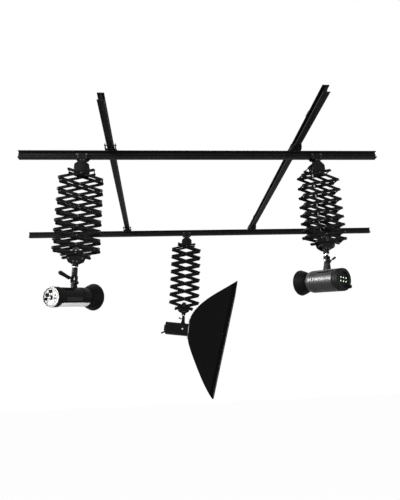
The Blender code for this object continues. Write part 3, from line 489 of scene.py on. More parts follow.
def sheet_metal(outline, low, high, round_off, turn, corners):
    """A flat outline extruded from low to high, with rounded corners and softened rims."""
    bm = bmesh.new()
    face = bm.faces.new([bm.verts.new((u, v, low)) for u, v in outline])
    made = bmesh.ops.extrude_face_region(bm, geom=[face], use_keep_orig=True)["geom"]
    raised = [item for item in made if isinstance(item, bmesh.types.BMVert)]
    bmesh.ops.translate(bm, verts=raised, vec=(0, 0, high - low))
    bmesh.ops.recalc_face_normals(bm, faces=bm.faces[:])
    if corners:
        soften(bm, [edge for edge in bm.edges if span(edge) > LEVEL], corners, 3)
    if round_off:
        soften(bm, sharp([edge for edge in bm.edges if span(edge) < LEVEL]), round_off)
    bm.transform(turn)
    return bm


def in_xz(outline, low, high, round_off=0.0, corners=0.0):
    """An XZ outline between two Y values."""
    return sheet_metal(outline, -high, -low, round_off, UPRIGHT, corners)


def in_yz(outline, low, high, round_off=0.0, corners=0.0):
    return sheet_metal(outline, low, high, round_off, SIDEWAYS, corners)


def cheek(outline, way, near, far, round_off=0.0, corners=0.0, extrude=in_xz):
    """A plate on side -1 or 1, between two distances from the middle plane."""
    return extrude(outline, *sorted((way * near, way * far)), round_off, corners)


def lathe(profile, sides=32):
    """A profile of (radius, height) points turned about Z."""
    bm = bmesh.new()
    verts = [bm.verts.new((radius, 0, height)) for radius, height in profile]
    pairs = list(zip(verts, verts[1:]))
    if profile[0][0] > 0:
        pairs.append((verts[-1], verts[0]))
    edges = [bm.edges.new(pair) for pair in pairs]
    about = {"cent": (0, 0, 0), "axis": (0, 0, 1), "angle": 2 * math.pi}
    bmesh.ops.spin(bm, geom=verts + edges, steps=sides, use_merge=True, **about)
    bmesh.ops.remove_doubles(bm, verts=bm.verts[:], dist=LEVEL)
    bmesh.ops.recalc_face_normals(bm, faces=bm.faces[:])
    return bm


def ridge(radius, level, dip, rise, half):
    """The profile of a thin raised ring round a barrel."""
    return [(radius - dip, level - half), (radius + rise, level), (radius - dip, level + half)]


def through(bm, rims):
    """A closed skin through rims of edges."""
    for near, far in zip(rims, rims[1:]):
        bmesh.ops.bridge_loops(bm, edges=near + far)
    for rim in (rims[0], rims[-1]):
        bmesh.ops.contextual_create(bm, geom=rim)
    bmesh.ops.recalc_face_normals(bm, faces=bm.faces[:])
    return bm


def tube(points, radius, sides):
    """A round bar along a row of points."""
    bm = bmesh.new()
    rims = []
    for i, point in enumerate(points):
        turn = looking(point, points[min(len(points) - 1, i + 1)] - points[max(0, i - 1)])
        circle = bmesh.ops.create_circle(bm, cap_ends=False, segments=sides, radius=radius, matrix=turn)
        rims.append(list({edge for vert in circle["verts"] for edge in vert.link_edges}))
    return through(bm, rims)


def rounded_box(stations, corner, steps=5):
    """A skin through rounded squares. A station is (height, half width)."""
    bm = bmesh.new()
    rims = []
    for level, half in stations:
        inner = half - corner
        points = []
        for i, (u, v) in enumerate(((1, -1), (1, 1), (-1, 1), (-1, -1))):
            points += arc((u * inner, v * inner), corner, -90 + 90 * i, 90 * i, steps)
        verts = [bm.verts.new((u, v, level)) for u, v in points]
        rims.append([bm.edges.new(pair) for pair in zip(verts, verts[1:] + verts[:1])])
    return through(bm, rims)


class Making:
    """A piece in the making: its parts join one mesh, each part with its own finish."""

    def __init__(self, name, finishes=()):
        self.name = name
        self.bm = bmesh.new()
        self.finishes = list(finishes)

    def add(self, part, finish, turn=STILL):
        if finish not in self.finishes:
            self.finishes.append(finish)
        for face in part.faces:
            face.material_index = self.finishes.index(finish)
        part.transform(turn)
        self.join(part)

    def join(self, part):
        mesh = bpy.data.meshes.new("part")
        part.to_mesh(mesh)
        part.free()
        self.bm.from_mesh(mesh)
        bpy.data.meshes.remove(mesh)

    def bolt(self, size, turn, finish="dull_zinc", washer=True):
        """A hex head with its washer, standing on the XY plane of turn."""
        level = 0.0
        if washer:
            level = size * 0.16
            self.add(rod(size * 1.25, 0.0, level, 20, size * 0.05), "dull_zinc", turn)
        self.add(rod(size, level, level + size * 0.6, 6, size * 0.09), finish, turn)
        self.add(rod(size * 0.5, level + size * 0.5, level + size * 0.72, 12, size * 0.06), "dull_zinc", turn)

    def rivet(self, radius, height, turn, finish="dull_zinc"):
        """A flat domed rivet head on the XY plane of turn."""
        profile = [(0, 0), (radius, 0), (radius, height * 0.3), (radius * 0.75, height * 0.8), (0, height)]
        self.add(lathe(profile, 12), finish, turn)

    def done(self):
        mesh = bpy.data.meshes.new(self.name)
        self.bm.to_mesh(mesh)
        self.bm.free()
        for finish in self.finishes:
            mesh.materials.append(FINISHES[finish])
        mesh.shade_smooth()
        mesh.set_sharp_from_angle(angle=SHARP_ANGLE)
        obj = bpy.data.objects.new(self.name, mesh)
        bpy.context.scene.collection.objects.link(obj)
        return obj


def settle(making, body, nodes, turn=STILL):
    """Places a finished piece in the shared frame, on its body, for the solids that it stands for."""
    making.bm.transform(turn)
    obj = making.done()
    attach(obj, body)
    if nodes:
        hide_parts(*nodes)
    return obj


def facing_y(side, x, z, y):
    """A place on a plate that faces away from the middle plane, with Z pointing out."""
    return shift(x, side * y, z) @ (TO_Y if side > 0 else TO_MINUS_Y)


def facing_x(side, y, z, x):
    return shift(side * x, y, z) @ (TO_X if side > 0 else TO_MINUS_X)


def rail_profile():
    half = RAIL_WIDTH / 2
    lip = half - 0.0025
    right = [(half, 0), (half, 0.0075), (lip, 0.0075), (lip, 0.005), (0.003, 0.005), (0.003, 0.022)]
    right += [(0.009, 0.022), (0.009, 0.032), (0.003, 0.032), (0.003, RAIL_HEIGHT - 0.005)]
    right += [(lip, RAIL_HEIGHT - 0.005), (lip, RAIL_HEIGHT - 0.0075), (half, RAIL_HEIGHT - 0.0075)]
    return mirrored([*right, (half, RAIL_HEIGHT)])


def make_rail(name, body, node, axis, start, end, place):
    """An extrusion along X or Y, with softened corners and a dark disc on each end, painted shade where the
    screw port opens.
    """
    extrude, facing, finish = ((in_yz, facing_x, "rail_x"), (in_xz, facing_y, "rail_y"))[axis]
    rail = Making(name)
    rail.add(extrude(rail_profile(), start, end), finish)
    for at, way in ((start, -1), (end, 1)):
        # A thin dark disc as painted shade in the open screw port.
        rail.add(rod(0.0042, 0.0, 0.0006, 16), "slot", facing(way, 0, RAIL_HEIGHT / 2, abs(at)))
    soften(rail.bm, sharp([edge for edge in rail.bm.edges if span(edge, axis) > 1.0]), 0.0006)
    settle(rail, body, [node], place)


def make_rails():
    """The two fixed rails and the two cross rails under them."""
    for side, x, start in FIXED_RAILS:
        ends = (start, start + FIXED_RAIL_LENGTH)
        make_rail(f"rail_fixed_{side}", "root", f"fixed_rail_{side}", 1, *ends, shift(x, 0, FIXED_LOW))
    for place, y, start, end in CROSS_RAILS:
        name = f"{place}_cross_rail"
        make_rail(f"rail_cross_{place}", f"{place}_rail", name, 0, start, end, shift(0, y, CROSS_LOW))


def rollers(made, facing, way, outer, apart, axle):
    """Two nylon wheels on their axles inside a side plate, and their bolts outside it."""
    radius = ROLLER_RADIUS
    right = [(radius - 0.0012, 0.0008), (radius, 0.0020), (radius, 0.0062), (radius - 0.0012, 0.0074)]
    profile = [(0.0042, 0.0), (0.0078, 0.0), (0.0082, 0.0008), *right]
    profile += [(0.0082, 0.0074), (0.0078, 0.0082), (0.0042, 0.0082)]
    for along in (-apart, apart):
        made.bolt(0.0068, facing(way, along, ROLLER_HEIGHT, outer))
        made.add(lathe(profile, 28), "wheel", facing(way, along, ROLLER_HEIGHT, WHEEL_SEAT))
        made.add(rod(PIN_RADIUS, 0.0, axle, 12), "dull_zinc", facing(way, along, ROLLER_HEIGHT, AXLE_SEAT))


def carriage_outline(foot, base, wide, shoulder, top):
    """A side plate, widest over its wheels."""
    right = [(foot, base), (wide, 0.004), (wide, shoulder), (top, 0.031)]
    return mirrored(right)


def make_junctions():
    """Plates, wheels and clamp jaws where a cross rail hangs under a fixed rail."""
    base = -0.0137
    inner = 0.035
    outer = 0.038
    outline = carriage_outline(0.043, base, 0.055, 0.023, 0.047)
    lip = -0.0218
    hook = [(0.0223, base + 0.002), (0.0223, lip), (0.0198, lip), (0.0198, lip - 0.003)]
    hook += [(0.026, lip - 0.003), (0.026, base + 0.002)]
    for place, y, *_ in CROSS_RAILS:
        for side, x, _ in FIXED_RAILS:
            made = Making(f"junction_{place}_{side}")
            for way in (-1, 1):
                made.add(cheek(outline, way, inner, outer, 0.0006, 0.003, in_yz), "carriage")
                rollers(made, facing_x, way, outer, apart=0.035, axle=0.0247)
                made.add(in_yz([(way * u, v) for u, v in hook], -0.028, 0.028, 0.0005), "carriage")
                for across in (-0.018, 0.018):
                    made.bolt(0.0038, facing_y(way, across, base - 0.004, 0.0262), washer=False)
            made.add(block((-0.036, -0.041, base), (0.036, 0.041, base + 0.0045), 0.0006), "carriage")
            node = f"junction_carriage_{place}_{side}"
            settle(made, f"{place}_rail", [node], shift(x, y, FIXED_LOW))


def make_carriage(name):
    """A U-bracket with four wheels in the cross rail, and the stud that carries the pantograph."""
    inner = 0.0232
    outer = inner + PLATE
    outline = carriage_outline(0.036, -0.016, 0.05, 0.024, 0.043)
    made = Making(f"{name}_carriage_dressed")
    for way in (-1, 1):
        made.add(cheek(outline, way, inner, outer, 0.0005, 0.003), "carriage")
        rollers(made, facing_y, way, outer, apart=0.032, axle=0.0122)
        for along in (-0.028, 0.028):
            made.bolt(0.0052, facing_y(way, along, -0.006, outer), washer=False)
    made.add(block((-0.036, -0.0245, -0.016), (0.036, 0.0245, -0.013), 0.0005), "carriage")
    made.add(rod(0.006, -0.0323, -0.015, 20), "zinc")
    made.add(rod(0.010, -0.0375, -0.0320, 6, 0.0007), "zinc")
    settle(made, f"{name}_carriage", [f"{name}_carriage"], FRAMES[name]["carriage"])


def end_pivot(made, way, turn=STILL):
    """One end of the pin on which the two bars at a bracket turn."""
    pin = rod(PIN_RADIUS, 0.0, ARM_OUTSIDE - PLATE_INNER + 0.0015, 16)
    made.add(pin, "zinc", turn @ facing_y(way, 0, 0, PLATE_INNER))
    made.rivet(*PIN_HEAD, turn @ facing_y(way, 0, 0, ARM_OUTSIDE))


def bracket_block(made, low, high, turn=STILL):
    """The block between two bracket plates."""
    x, y = BRACKET_BLOCK
    made.add(block((-x, -y, low), (x, y, high), 0.001), "bracket", turn)


def make_top_bracket(name):
    """Two folded plates under the swivel collar, with pins for the first arms and the spring's hook."""
    half = [*arc((0.0, 0.0), 0.016, -60, -38, 1), (0.054, 0.025), (0.052, 0.072), (0.020, 0.100)]
    half += [(0.020, TOP_HEIGHT)]
    hang = turn_y(PANTOGRAPHS[name]["lean"]) @ shift(0, 0, -TOP_HEIGHT)
    screws = TOP_HEIGHT - 0.0065
    made = Making(f"{name}_top_bracket_dressed")
    for way in (-1, 1):
        made.add(cheek(mirrored(half), way, PLATE_INNER, PLATE_OUTER, 0.0005, 0.003), "bracket", hang)
        for x in (HOOK[0], -HOOK[0]):
            made.rivet(*HOOK_RIVET, hang @ facing_y(way, x, HOOK[1], PLATE_OUTER))
        for x in (0.012, -0.012):
            made.rivet(*COLLAR_RIVET, hang @ facing_y(way, x, screws, PLATE_OUTER))
        end_pivot(made, way, hang)
    bracket_block(made, TOP_HEIGHT - 0.0125, TOP_HEIGHT - 0.0005, hang)
    for x in (HOOK[0], -HOOK[0]):
        place = hang @ shift(x, 0, HOOK[1]) @ TO_Y
        made.add(rod(PIN_RADIUS, -PLATE_TIE, PLATE_TIE, 16), "zinc", place)
    collar = [(0.0064, -0.0125), (0.0165, -0.0125), (0.017, -0.0120), (0.017, 0.0012), (0.0160, 0.0022)]
    made.add(lathe([*collar, (0.0064, 0.0022)]), "clamp")
    settle(made, f"{name}_top", [f"{name}_top_bracket"], FRAMES[name]["pan"])


def make_bottom_bracket(name):
    """Two plates that carry the spring drum's axle and the spigot socket. Their rivets are flush."""
    half = [(0.020, -APEX_DROP), (0.052, -0.050), (0.062, -0.028), (0.050, 0.002), (0.024, 0.012)]
    half += arc((0.0, DRUM_RISE), 0.013, 10, 70, 3)
    made = Making(f"{name}_bottom_bracket_dressed")
    for way in (-1, 1):
        made.add(cheek(mirrored(half), way, PLATE_INNER, PLATE_OUTER, 0.0005, 0.002), "bracket")
        end_pivot(made, way)
        for x, z in ((-0.046, -0.036), (0.046, -0.036), (-0.012, -0.058), (0.012, -0.058)):
            made.rivet(*FLUSH_RIVET, facing_y(way, x, z, PLATE_OUTER))
    for x in (-0.046, 0.046):
        made.add(rod(0.0035, -PLATE_TIE, PLATE_TIE, 12), "dull_zinc", shift(x, 0, -0.036) @ TO_Y)
    bracket_block(made, -APEX_DROP + 0.0005, -APEX_DROP + 0.012)
    low = -APEX_DROP - SWIVELS[name]["socket"]
    profile = [(0.0087, low), (0.0195, low), (SOCKET_RADIUS, low + 0.0015)]
    profile += [(SOCKET_RADIUS, -APEX_DROP - 0.001), (0.0195, -APEX_DROP + 0.0006)]
    made.add(lathe([*profile, (0.0087, -APEX_DROP + 0.0006)], 36), "clamp")
    settle(made, f"{name}_bottom", [f"{name}_bottom_bracket"], FRAMES[name]["bottom"])


def make_drum(name):
    """A flanged drum, wound with the end of its steel band."""
    half = DRUM_HALF_WIDTH
    flange = [(0.0049, half - 0.003), (DRUM_RADIUS - 0.003, half - 0.003), (DRUM_RADIUS, half - 0.0016)]
    flange += [(DRUM_RADIUS, half), (0.0049, half)]
    made = Making(f"{name}_drum_dressed")
    made.add(rod(0.005, -PLATE_OUTER, PLATE_OUTER, 20), "zinc", TO_Y)
    for turn in (TO_Y @ FLIP, TO_Y):
        made.add(lathe(flange, 36), "dull_zinc", turn)
    coil = []
    for i in range(9):
        radius = 0.0205 - 0.00012 * i
        coil += [(radius, -0.008 + 0.0018 * i), (radius + 0.0004, -0.0071 + 0.0018 * i)]
    made.add(lathe([(0.0048, -0.008), *coil, (0.0048, 0.0082)], 40), "spring", TO_Y)
    settle(made, f"{name}_drum", [f"{name}_spring_drum"], FRAMES[name]["drum"])


def bar(start, end, kind, side):
    """A pressed channel: a web with round ends and two folded lips, along X on one side of the lattice."""
    sign = 1 if kind == "a" else -1
    face = LAYER_PLANE + sign * LAYER_GAP / 2
    half = BAR_HEIGHT / 2
    outline = [*arc((end - half, 0.0), half, -60, 60, 4), *arc((start + half, 0.0), half, 120, 240, 4)]
    parts = [cheek(outline, side, face, face + sign * BAR_WALL)]
    for way in (-1, 1):
        low, high = sorted((way * half, way * (half - BAR_WALL)))
        left = start + BAR_LIP_INSET
        right = end - BAR_LIP_INSET
        fold = [(left, low), (right, low), (right, high), (left, high)]
        lip = cheek(fold, side, face + sign * BAR_WALL * 0.6, face + sign * BAR_DEPTH)
        soften(lip, [edge for edge in lip.edges if span(edge, 0) > 0.05], 0.0004, 1)
        parts.append(lip)
    return parts


def dress_arm(made, kind, first, last, turn):
    """One arm: a bar in front and one behind, their tie rods, spacers and rivets."""
    reach = ARM_LENGTH / 2
    upper = EAR_LENGTH if first else reach + BAR_END
    lower = EAR_LENGTH if last else reach + BAR_END
    for side in (-1, 1):
        for part in bar(-lower, upper, kind, side):
            made.add(part, "arm", turn)
    spot = EAR_ROD if first else reach
    place = turn @ shift(spot, 0, 0) @ TO_Y
    length = ARM_OUTSIDE if kind == "a" or not first else ARM_WITHIN
    made.add(rod(PIN_RADIUS, -length, length, 10), "dull_zinc", place)
    if not first:
        made.add(rod(0.0056, -ARM_WITHIN + 0.001, ARM_WITHIN - 0.001, 10), "arm", place)
    for side in (-1, 1):
        rivets = []
        if kind == "a" or not first:
            rivets.append((spot, ARM_OUTSIDE))
        if kind == "a" and not first and not last:
            rivets.append((0, ARM_OUTSIDE))
        if last:
            rivets.append((-EAR_ROD, ARM_OUTSIDE if kind == "a" else ARM_WITHIN))
        for x, face in rivets:
            made.rivet(*ARM_RIVET, turn @ facing_y(side, x, 0, face))


def crossings(reach, taper):
    """The heights at which the arms cross. A taper makes the upper stages longer than the lower ones."""
    mean = reach / STAGES
    steps = [mean * (1 + taper * (1 - 2 * (i + 0.5) / STAGES)) for i in range(STAGES)]
    return [-sum(steps[:i]) for i in range(STAGES + 1)]


def arm_turn(kind, angle):
    return turn_y(-angle if kind == "a" else angle - 180)


def share_place(share):
    """Where a smooth 0 to 1 blend has a wanted share."""
    share = min(1.0, max(0.0, share))
    return 0.5 - math.sin(math.asin(1 - 2 * share) / 3)


def blend_span(zero, base, slope):
    """Where a blend starts and ends along an arm, from its value at one place and its slope."""
    return zero - base / slope, zero + (1 - base) / slope


def make_side_lattice(name):
    """The arms of a side pantograph, each baked in place. The span between each one's own shares of the
    pull-out is worked out, but nothing uses it.
    """
    sizes = PANTOGRAPHS[name]
    reach = sizes["reach"]
    heights = crossings(reach, sizes["taper"])
    half = ARM_LENGTH / 2
    for i, height in enumerate(heights):
        above = heights[i - 1] - height if i else heights[0] - heights[1]
        below = height - heights[i + 1] if i < STAGES else above
        angle = math.degrees(math.asin((above + below) / 2 / ARM_LENGTH))
        rise = half * math.sin(math.radians(angle))
        upper = share_place(-(height + rise) / reach)
        lower = share_place(-(height - rise) / reach) if i < STAGES else 1.0
        if i == 0:
            ends = blend_span(0.0, 0.0, lower / -half)
        else:
            ends = blend_span(half, upper, (lower - upper) / (-2 * half))
        for kind in ("a", "b"):
            turn = FRAMES[name]["top"] @ shift(0, 0, height) @ arm_turn(kind, angle)
            made = Making(f"{name}_arm_{kind}{i}")
            dress_arm(made, kind, i == 0, i == STAGES, turn)
            obj = made.done()
            start, end = (turn @ Vector((along, 0, 0)) for along in ends)
            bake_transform(obj)
            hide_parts(f"{name}_lattice")


def make_centre_arms():
    """The separate arms of the centre pantograph, each on its own body."""
    reach = PANTOGRAPHS["centre"]["reach"]
    angle = math.degrees(math.asin(reach / STAGES / ARM_LENGTH))
    for i, height in enumerate(crossings(reach, 0.0)):
        for kind in ("a", "b"):
            node = f"centre_arm_{kind}{i}"
            made = Making(f"{node}_dressed")
            turn = FRAMES["centre"]["top"] @ shift(0, 0, height) @ arm_turn(kind, angle)
            dress_arm(made, kind, i == 0, i == STAGES, turn)
            settle(made, node, [node])


def strip_points(name):
    """Top and foot of a spring band, in the top pivot's frame."""
    top = Vector((HOOK[0] + PIN_RADIUS + GAP, 0, HOOK[1] + 0.008))
    foot = Vector((BAND_FOOT_X, 0, -PANTOGRAPHS[name]["reach"] + DRUM_RISE))
    return top, foot


def band(top, foot, thickness, parts):
    """A thin steel band between two points, with cuts along its length."""
    bm = bmesh.new()
    bmesh.ops.create_grid(bm, x_segments=parts, y_segments=1, size=0.5)
    run = foot - top
    for vert in bm.verts:
        vert.co = top + run * (vert.co.x + 0.5) + Vector((0, vert.co.y * BAND_WIDTH, 0))
    bmesh.ops.solidify(bm, geom=bm.faces[:], thickness=thickness)
    bmesh.ops.recalc_face_normals(bm, faces=bm.faces[:])
    return bm


def make_side_strip(name):
    """One band from the top hook to the drum, baked in place."""
    top, foot = strip_points(name)
    turn = FRAMES[name]["top"]
    made = Making(f"{name}_band")
    made.add(band(top, foot, 0.0008, 24), "spring", turn)
    obj = made.done()
    turn @ top
    turn @ foot
    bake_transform(obj)
    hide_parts(f"{name}_spring_strip")


def make_centre_strip():
    """Overlapping leaves along the band, one about each crossing of the arms. The first is on the top
    bracket's body and the last on the bottom bracket's body; the others are baked in place.
    """
    top, foot = strip_points("centre")
    turn = FRAMES["centre"]["top"]
    for i, height in enumerate(crossings(PANTOGRAPHS["centre"]["reach"], 0.0)):
        share = i / STAGES
        upper = min(height + share * LEAF_LENGTH, top.z) if i else top.z
        lower = max(height - (1 - share) * LEAF_LENGTH, foot.z) if i < STAGES else foot.z
        ends = []
        for z in (upper, lower):
            along = (top.z - z) / (top.z - foot.z)
            ends.append(top.lerp(foot, along) + Vector((0.00045 * i, 0, 0)))
        made = Making(f"centre_band_{i}")
        made.add(band(*ends, 0.0003, 2), "spring", turn)
        obj = made.done()
        if i == 0:
            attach(obj, "centre_top")
        elif i == STAGES:
            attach(obj, "centre_bottom")
        else:
            middle = turn @ Vector((0, 0, height))
            away = turn.to_3x3() @ Vector((0, 40.0, 0))
            middle - away
            middle + away
            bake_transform(obj)
        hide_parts("centre_spring_strip")


def make_swivel(name):
    """Spigot, bright ring and neck, and the fork that holds the lamp's tilt bolt."""
    sizes = SWIVELS[name]
    socket = -sizes["socket"]
    seat = socket - GAP
    low = seat - sizes["ring"]
    width = FORK_INNER + FORK_CHEEK
    bridge = -sizes["bridge"]
    drop = -sizes["drop"]
    neck = sizes["neck"]
    made = Making(f"{name}_swivel_dressed")
    made.add(rod(0.0083, socket - 0.001, -0.001, 24, 0.0006), "zinc")
    profile = [(0, low), (0.0122, low), (0.0135, low + 0.0012), (0.0135, seat - 0.0012), (0.0122, seat)]
    made.add(lathe([*profile, (0, seat)]), "zinc")
    profile = [(0, bridge - 0.002), (neck, bridge - 0.002), (neck, low - 0.004)]
    made.add(lathe([*profile, (neck - 0.003, low + 0.0004), (0, low + 0.0004)]), "clamp")
    if name == "left":
        for level in (0.35, 0.6, 0.85):
            height = low + (bridge - low) * level
            made.add(lathe(ridge(neck, height, 0.0005, 0.0006, 0.0016)), "dull_zinc")
    made.add(block((-FORK_HALF, -width, bridge - 0.008), (FORK_HALF, width, bridge), 0.0012), "clamp")
    outline = [*arc((0.0, drop), FORK_HALF, 180, 360, 12), (FORK_HALF, bridge - 0.002)]
    outline += [(-FORK_HALF, bridge - 0.002)]
    for way in (-1, 1):
        made.add(cheek(outline, way, FORK_INNER, width - 0.0001, 0.0008), "clamp")
    made.add(rod(0.005, -width - 0.008, width + 0.010, 20, 0.0006), "zinc", shift(0, 0, drop) @ TO_Y)
    made.bolt(0.0085, facing_y(1, 0, drop, width), "zinc")
    settle(made, f"{name}_swivel", [f"{name}_swivel"], FRAMES[name]["spigot"])


def make_lever(name):
    """The clamping lever of the tilt joint: a stepped hub, a plated rod and a moulded grip."""
    sizes = LEVERS[name]
    reach = sizes["rod"]
    length = sizes["grip"]
    end = reach + length
    radius = sizes["radius"]
    near = -FORK_INNER - FORK_CHEEK - GAP
    hub = LEVER_HUB
    depth = LEVER_HUB_DEPTH
    made = Making(f"{name}_lever_dressed")
    profile = [(0.0053, 0.0), (hub - 0.0005, 0.0), (hub, 0.0006), (hub, depth - 0.0012)]
    profile += [(hub - 0.0012, depth), (0.004, depth), (0.0032, depth - 0.0012), (0, depth - 0.0012)]
    made.add(lathe([*profile, (0, 0.009), (0.0053, 0.009)], 28), "clamp", shift(0, near, 0) @ TO_MINUS_Y)
    turn = shift(0, near - depth + 0.004, 0) @ turn_y(sizes["angle"]) @ TO_X
    made.add(rod(0.0038, hub * 0.8, reach + 0.006, 14), "clamp", turn)
    made.add(rod(0.0048, hub * 0.9, hub * 0.9 + 0.005, 6, 0.0005), "dull_zinc", turn)
    profile = [(0, reach), (radius * 0.66, reach), (radius * 0.9, reach + 0.003)]
    profile += [(radius * 0.82, reach + length * 0.35), (radius, end - length * 0.18)]
    profile += [(radius * 0.96, end - length * 0.09), (radius * 0.6, end - 0.001), (0, end)]
    made.add(lathe(profile, 24), "grip", turn)
    settle(made, f"{name}_lever", [f"{name}_tilt_lever"], FRAMES[name]["lever"])


def head_sizes(name):
    return [HEADS[name][key] for key in ("radius", "back", "front", "hang")]


def offset(points, radius, level):
    """Profile points that are given from a radius and a level."""
    return [(radius + u, level + v) for u, v in points]


def knob(radius, height, flutes=18):
    """A knurled control knob on the XY plane."""
    profile = [(0, 0), (radius, 0), (radius, height * 0.82), (radius * 0.86, height), (0, height)]
    bm = lathe(profile, flutes * 2)
    sunk = [f for f in bm.faces if abs(f.normal.z) < 0.2 and int(around(f)[0] * flutes / 180 + 400) % 2]
    if sunk:
        bmesh.ops.inset_individual(bm, faces=sunk, thickness=radius * 0.02, depth=-radius * 0.06)
    return bm


def around(face):
    """A face's angle round the beam, in degrees from straight down, and its place along the beam."""
    centre = face.calc_center_median()
    return math.degrees(math.atan2(centre.y, centre.x)), centre.z


def vents(shell, low, high):
    """Sinks some faces of a round shell between two heights, as vent slots in the second finish."""
    chosen = []
    for face in shell.faces:
        angle, level = around(face)
        slot = any(start < angle % 360 < end for start, end in VENT_SPANS)
        if slot and low < level < high and abs(face.normal.z) < 0.3:
            chosen.append(face)
    bmesh.ops.inset_individual(shell, faces=chosen, thickness=0.0012, depth=-0.003)
    for face in chosen:
        face.material_index = 1


def raised_panel(shell, finish, middle, reach, low, high, height):
    """Lifts a patch of a round shell, as a cover plate with the finish of that number."""
    patch = []
    for face in shell.faces:
        angle, level = around(face)
        aside = abs((angle - middle + 180) % 360 - 180)
        if low < level < high and aside < reach and abs(face.normal.z) < 0.3:
            patch.append(face)
    bmesh.ops.inset_region(shell, faces=patch, thickness=0.0008, depth=height, use_even_offset=True)
    for face in patch:
        face.material_index = finish


def bell_radius(share):
    return REFLECTOR_NECK + (REFLECTOR_MOUTH - REFLECTOR_NECK) * share**0.62


def make_reflector(name):
    """A spun bell with a rolled rim: black outside, dimpled silver inside."""
    start = HEADS[name]["front"] + GAP
    collar = 0.010
    hole = 0.034
    depth = REFLECTOR_LENGTH - collar
    outer = [(bell_radius(i / 14), start + collar + depth * i / 14) for i in range(15)]
    mouth, end = outer[-1]
    shell = [(hole, start), (REFLECTOR_NECK - 0.0008, start), (REFLECTOR_NECK, start + 0.0008), *outer]
    shell += [(mouth + 0.0006, end + 0.0004), (mouth + 0.0002, end + 0.0014), (mouth - 0.0012, end + 0.0014)]
    inside = [(radius - REFLECTOR_WALL, height) for radius, height in reversed(outer)]
    bell = lathe([*shell, *inside, (hole, start + REFLECTOR_WALL)], 64)
    for face in bell.faces:
        centre = face.calc_center_median()
        outward = Vector((centre.x, centre.y, 0)).normalized()
        inner = face.normal.dot(outward) < -0.1 or (centre.z < start + 0.004 and face.normal.z > 0.5)
        face.material_index = 1 if inner else 0
    made = Making(f"{name}_reflector_dressed", ("satin", "silver"))
    made.join(bell)
    for level in (0.016, 0.024):
        radius = bell_radius((level - collar) / depth)
        made.add(lathe(ridge(radius, start + level, 0.001, 0.0012, 0.002), 48), "satin")
    settle(made, f"{name}_head", [f"{name}_reflector"], FRAMES[name]["beam"])


def dome(made, front):
    """The flash tube's frosted dome in its socket."""
    made.add(rod(0.036, front - 0.002, front + 0.005, 40, 0.001), "slot")
    profile = [(0, 0.004), (0.0275, 0.004), (0.0275, 0.016), (0.0255, 0.026), (0.021, 0.033)]
    made.add(lathe(offset([*profile, (0.012, 0.0385), (0, 0.040)], 0, front), 40), "dome")


def rear_place(back):
    """The rear panel's plane, with Z pointing out behind. X is down and Y is mirrored."""
    return shift(0, 0, back) @ FLIP


def left_panel(made, back, radius):
    """The spotlight's pale rear panel: mains inlet, dials, switch, sockets and a plain white plate."""
    low = back + 0.0048
    rim = radius - 0.0105
    plane = rear_place(low)
    made.add(lathe([(0, back + 0.0068), (rim, back + 0.0068), (rim, low), (0, low)], 48), "pale")
    made.add(block((-0.044, -0.0125, 0.0), (-0.025, 0.0125, 0.0036), 0.0008), "black", plane)
    made.add(block((-0.041, -0.0085, 0.0034), (-0.029, 0.0085, 0.0042), 0.0003), "slot", plane)
    for y in (-0.004, 0.0, 0.004):
        made.add(rod(0.0009, 0.0030, 0.0056, 8), "zinc", plane @ shift(-0.035, y, 0))
    small = ((-0.015, -0.026, 0.0105, "black"), (0.009, -0.037, 0.0085, "black"))
    for x, y, size, cap in (*small, (0.003, 0.0, 0.0115, "pale")):
        place = plane @ shift(x, y, 0)
        made.add(rod(size * 1.2, 0.0, 0.0006, 28), "slot", place)
        made.add(knob(size, 0.0105), "black", place)
        made.add(rod(size * 0.62, 0.0098, 0.0108, 24, 0.0003), cap, place)
        made.add(block((-size * 0.8, -0.0006, 0.0106), (-size * 0.2, 0.0006, 0.0112)), "slot", place)
    made.add(rod(0.0042, 0.0, 0.0016, 20, 0.0003), "slot", plane @ shift(-0.008, 0.033, 0))
    made.add(block((0.008, 0.024, 0.0), (0.015, 0.040, 0.0026), 0.0006), "black", plane)
    made.add(block((0.0095, 0.027, 0.002), (0.0135, 0.037, 0.0050), 0.0008), "slot", plane)
    made.add(block((0.020, -0.0125, 0.0), (0.044, 0.0125, 0.0014), 0.0006), "white", plane)
    for y in (-0.030, 0.030):
        made.add(rod(0.0026, 0.0, 0.0014, 16, 0.0003), "slot", plane @ shift(0.030, y, 0))
    for x, y in arc((0, 0), 0.0495, 45, 315, 3):
        made.rivet(*PANEL_RIVET, plane @ shift(x, y, 0.0))


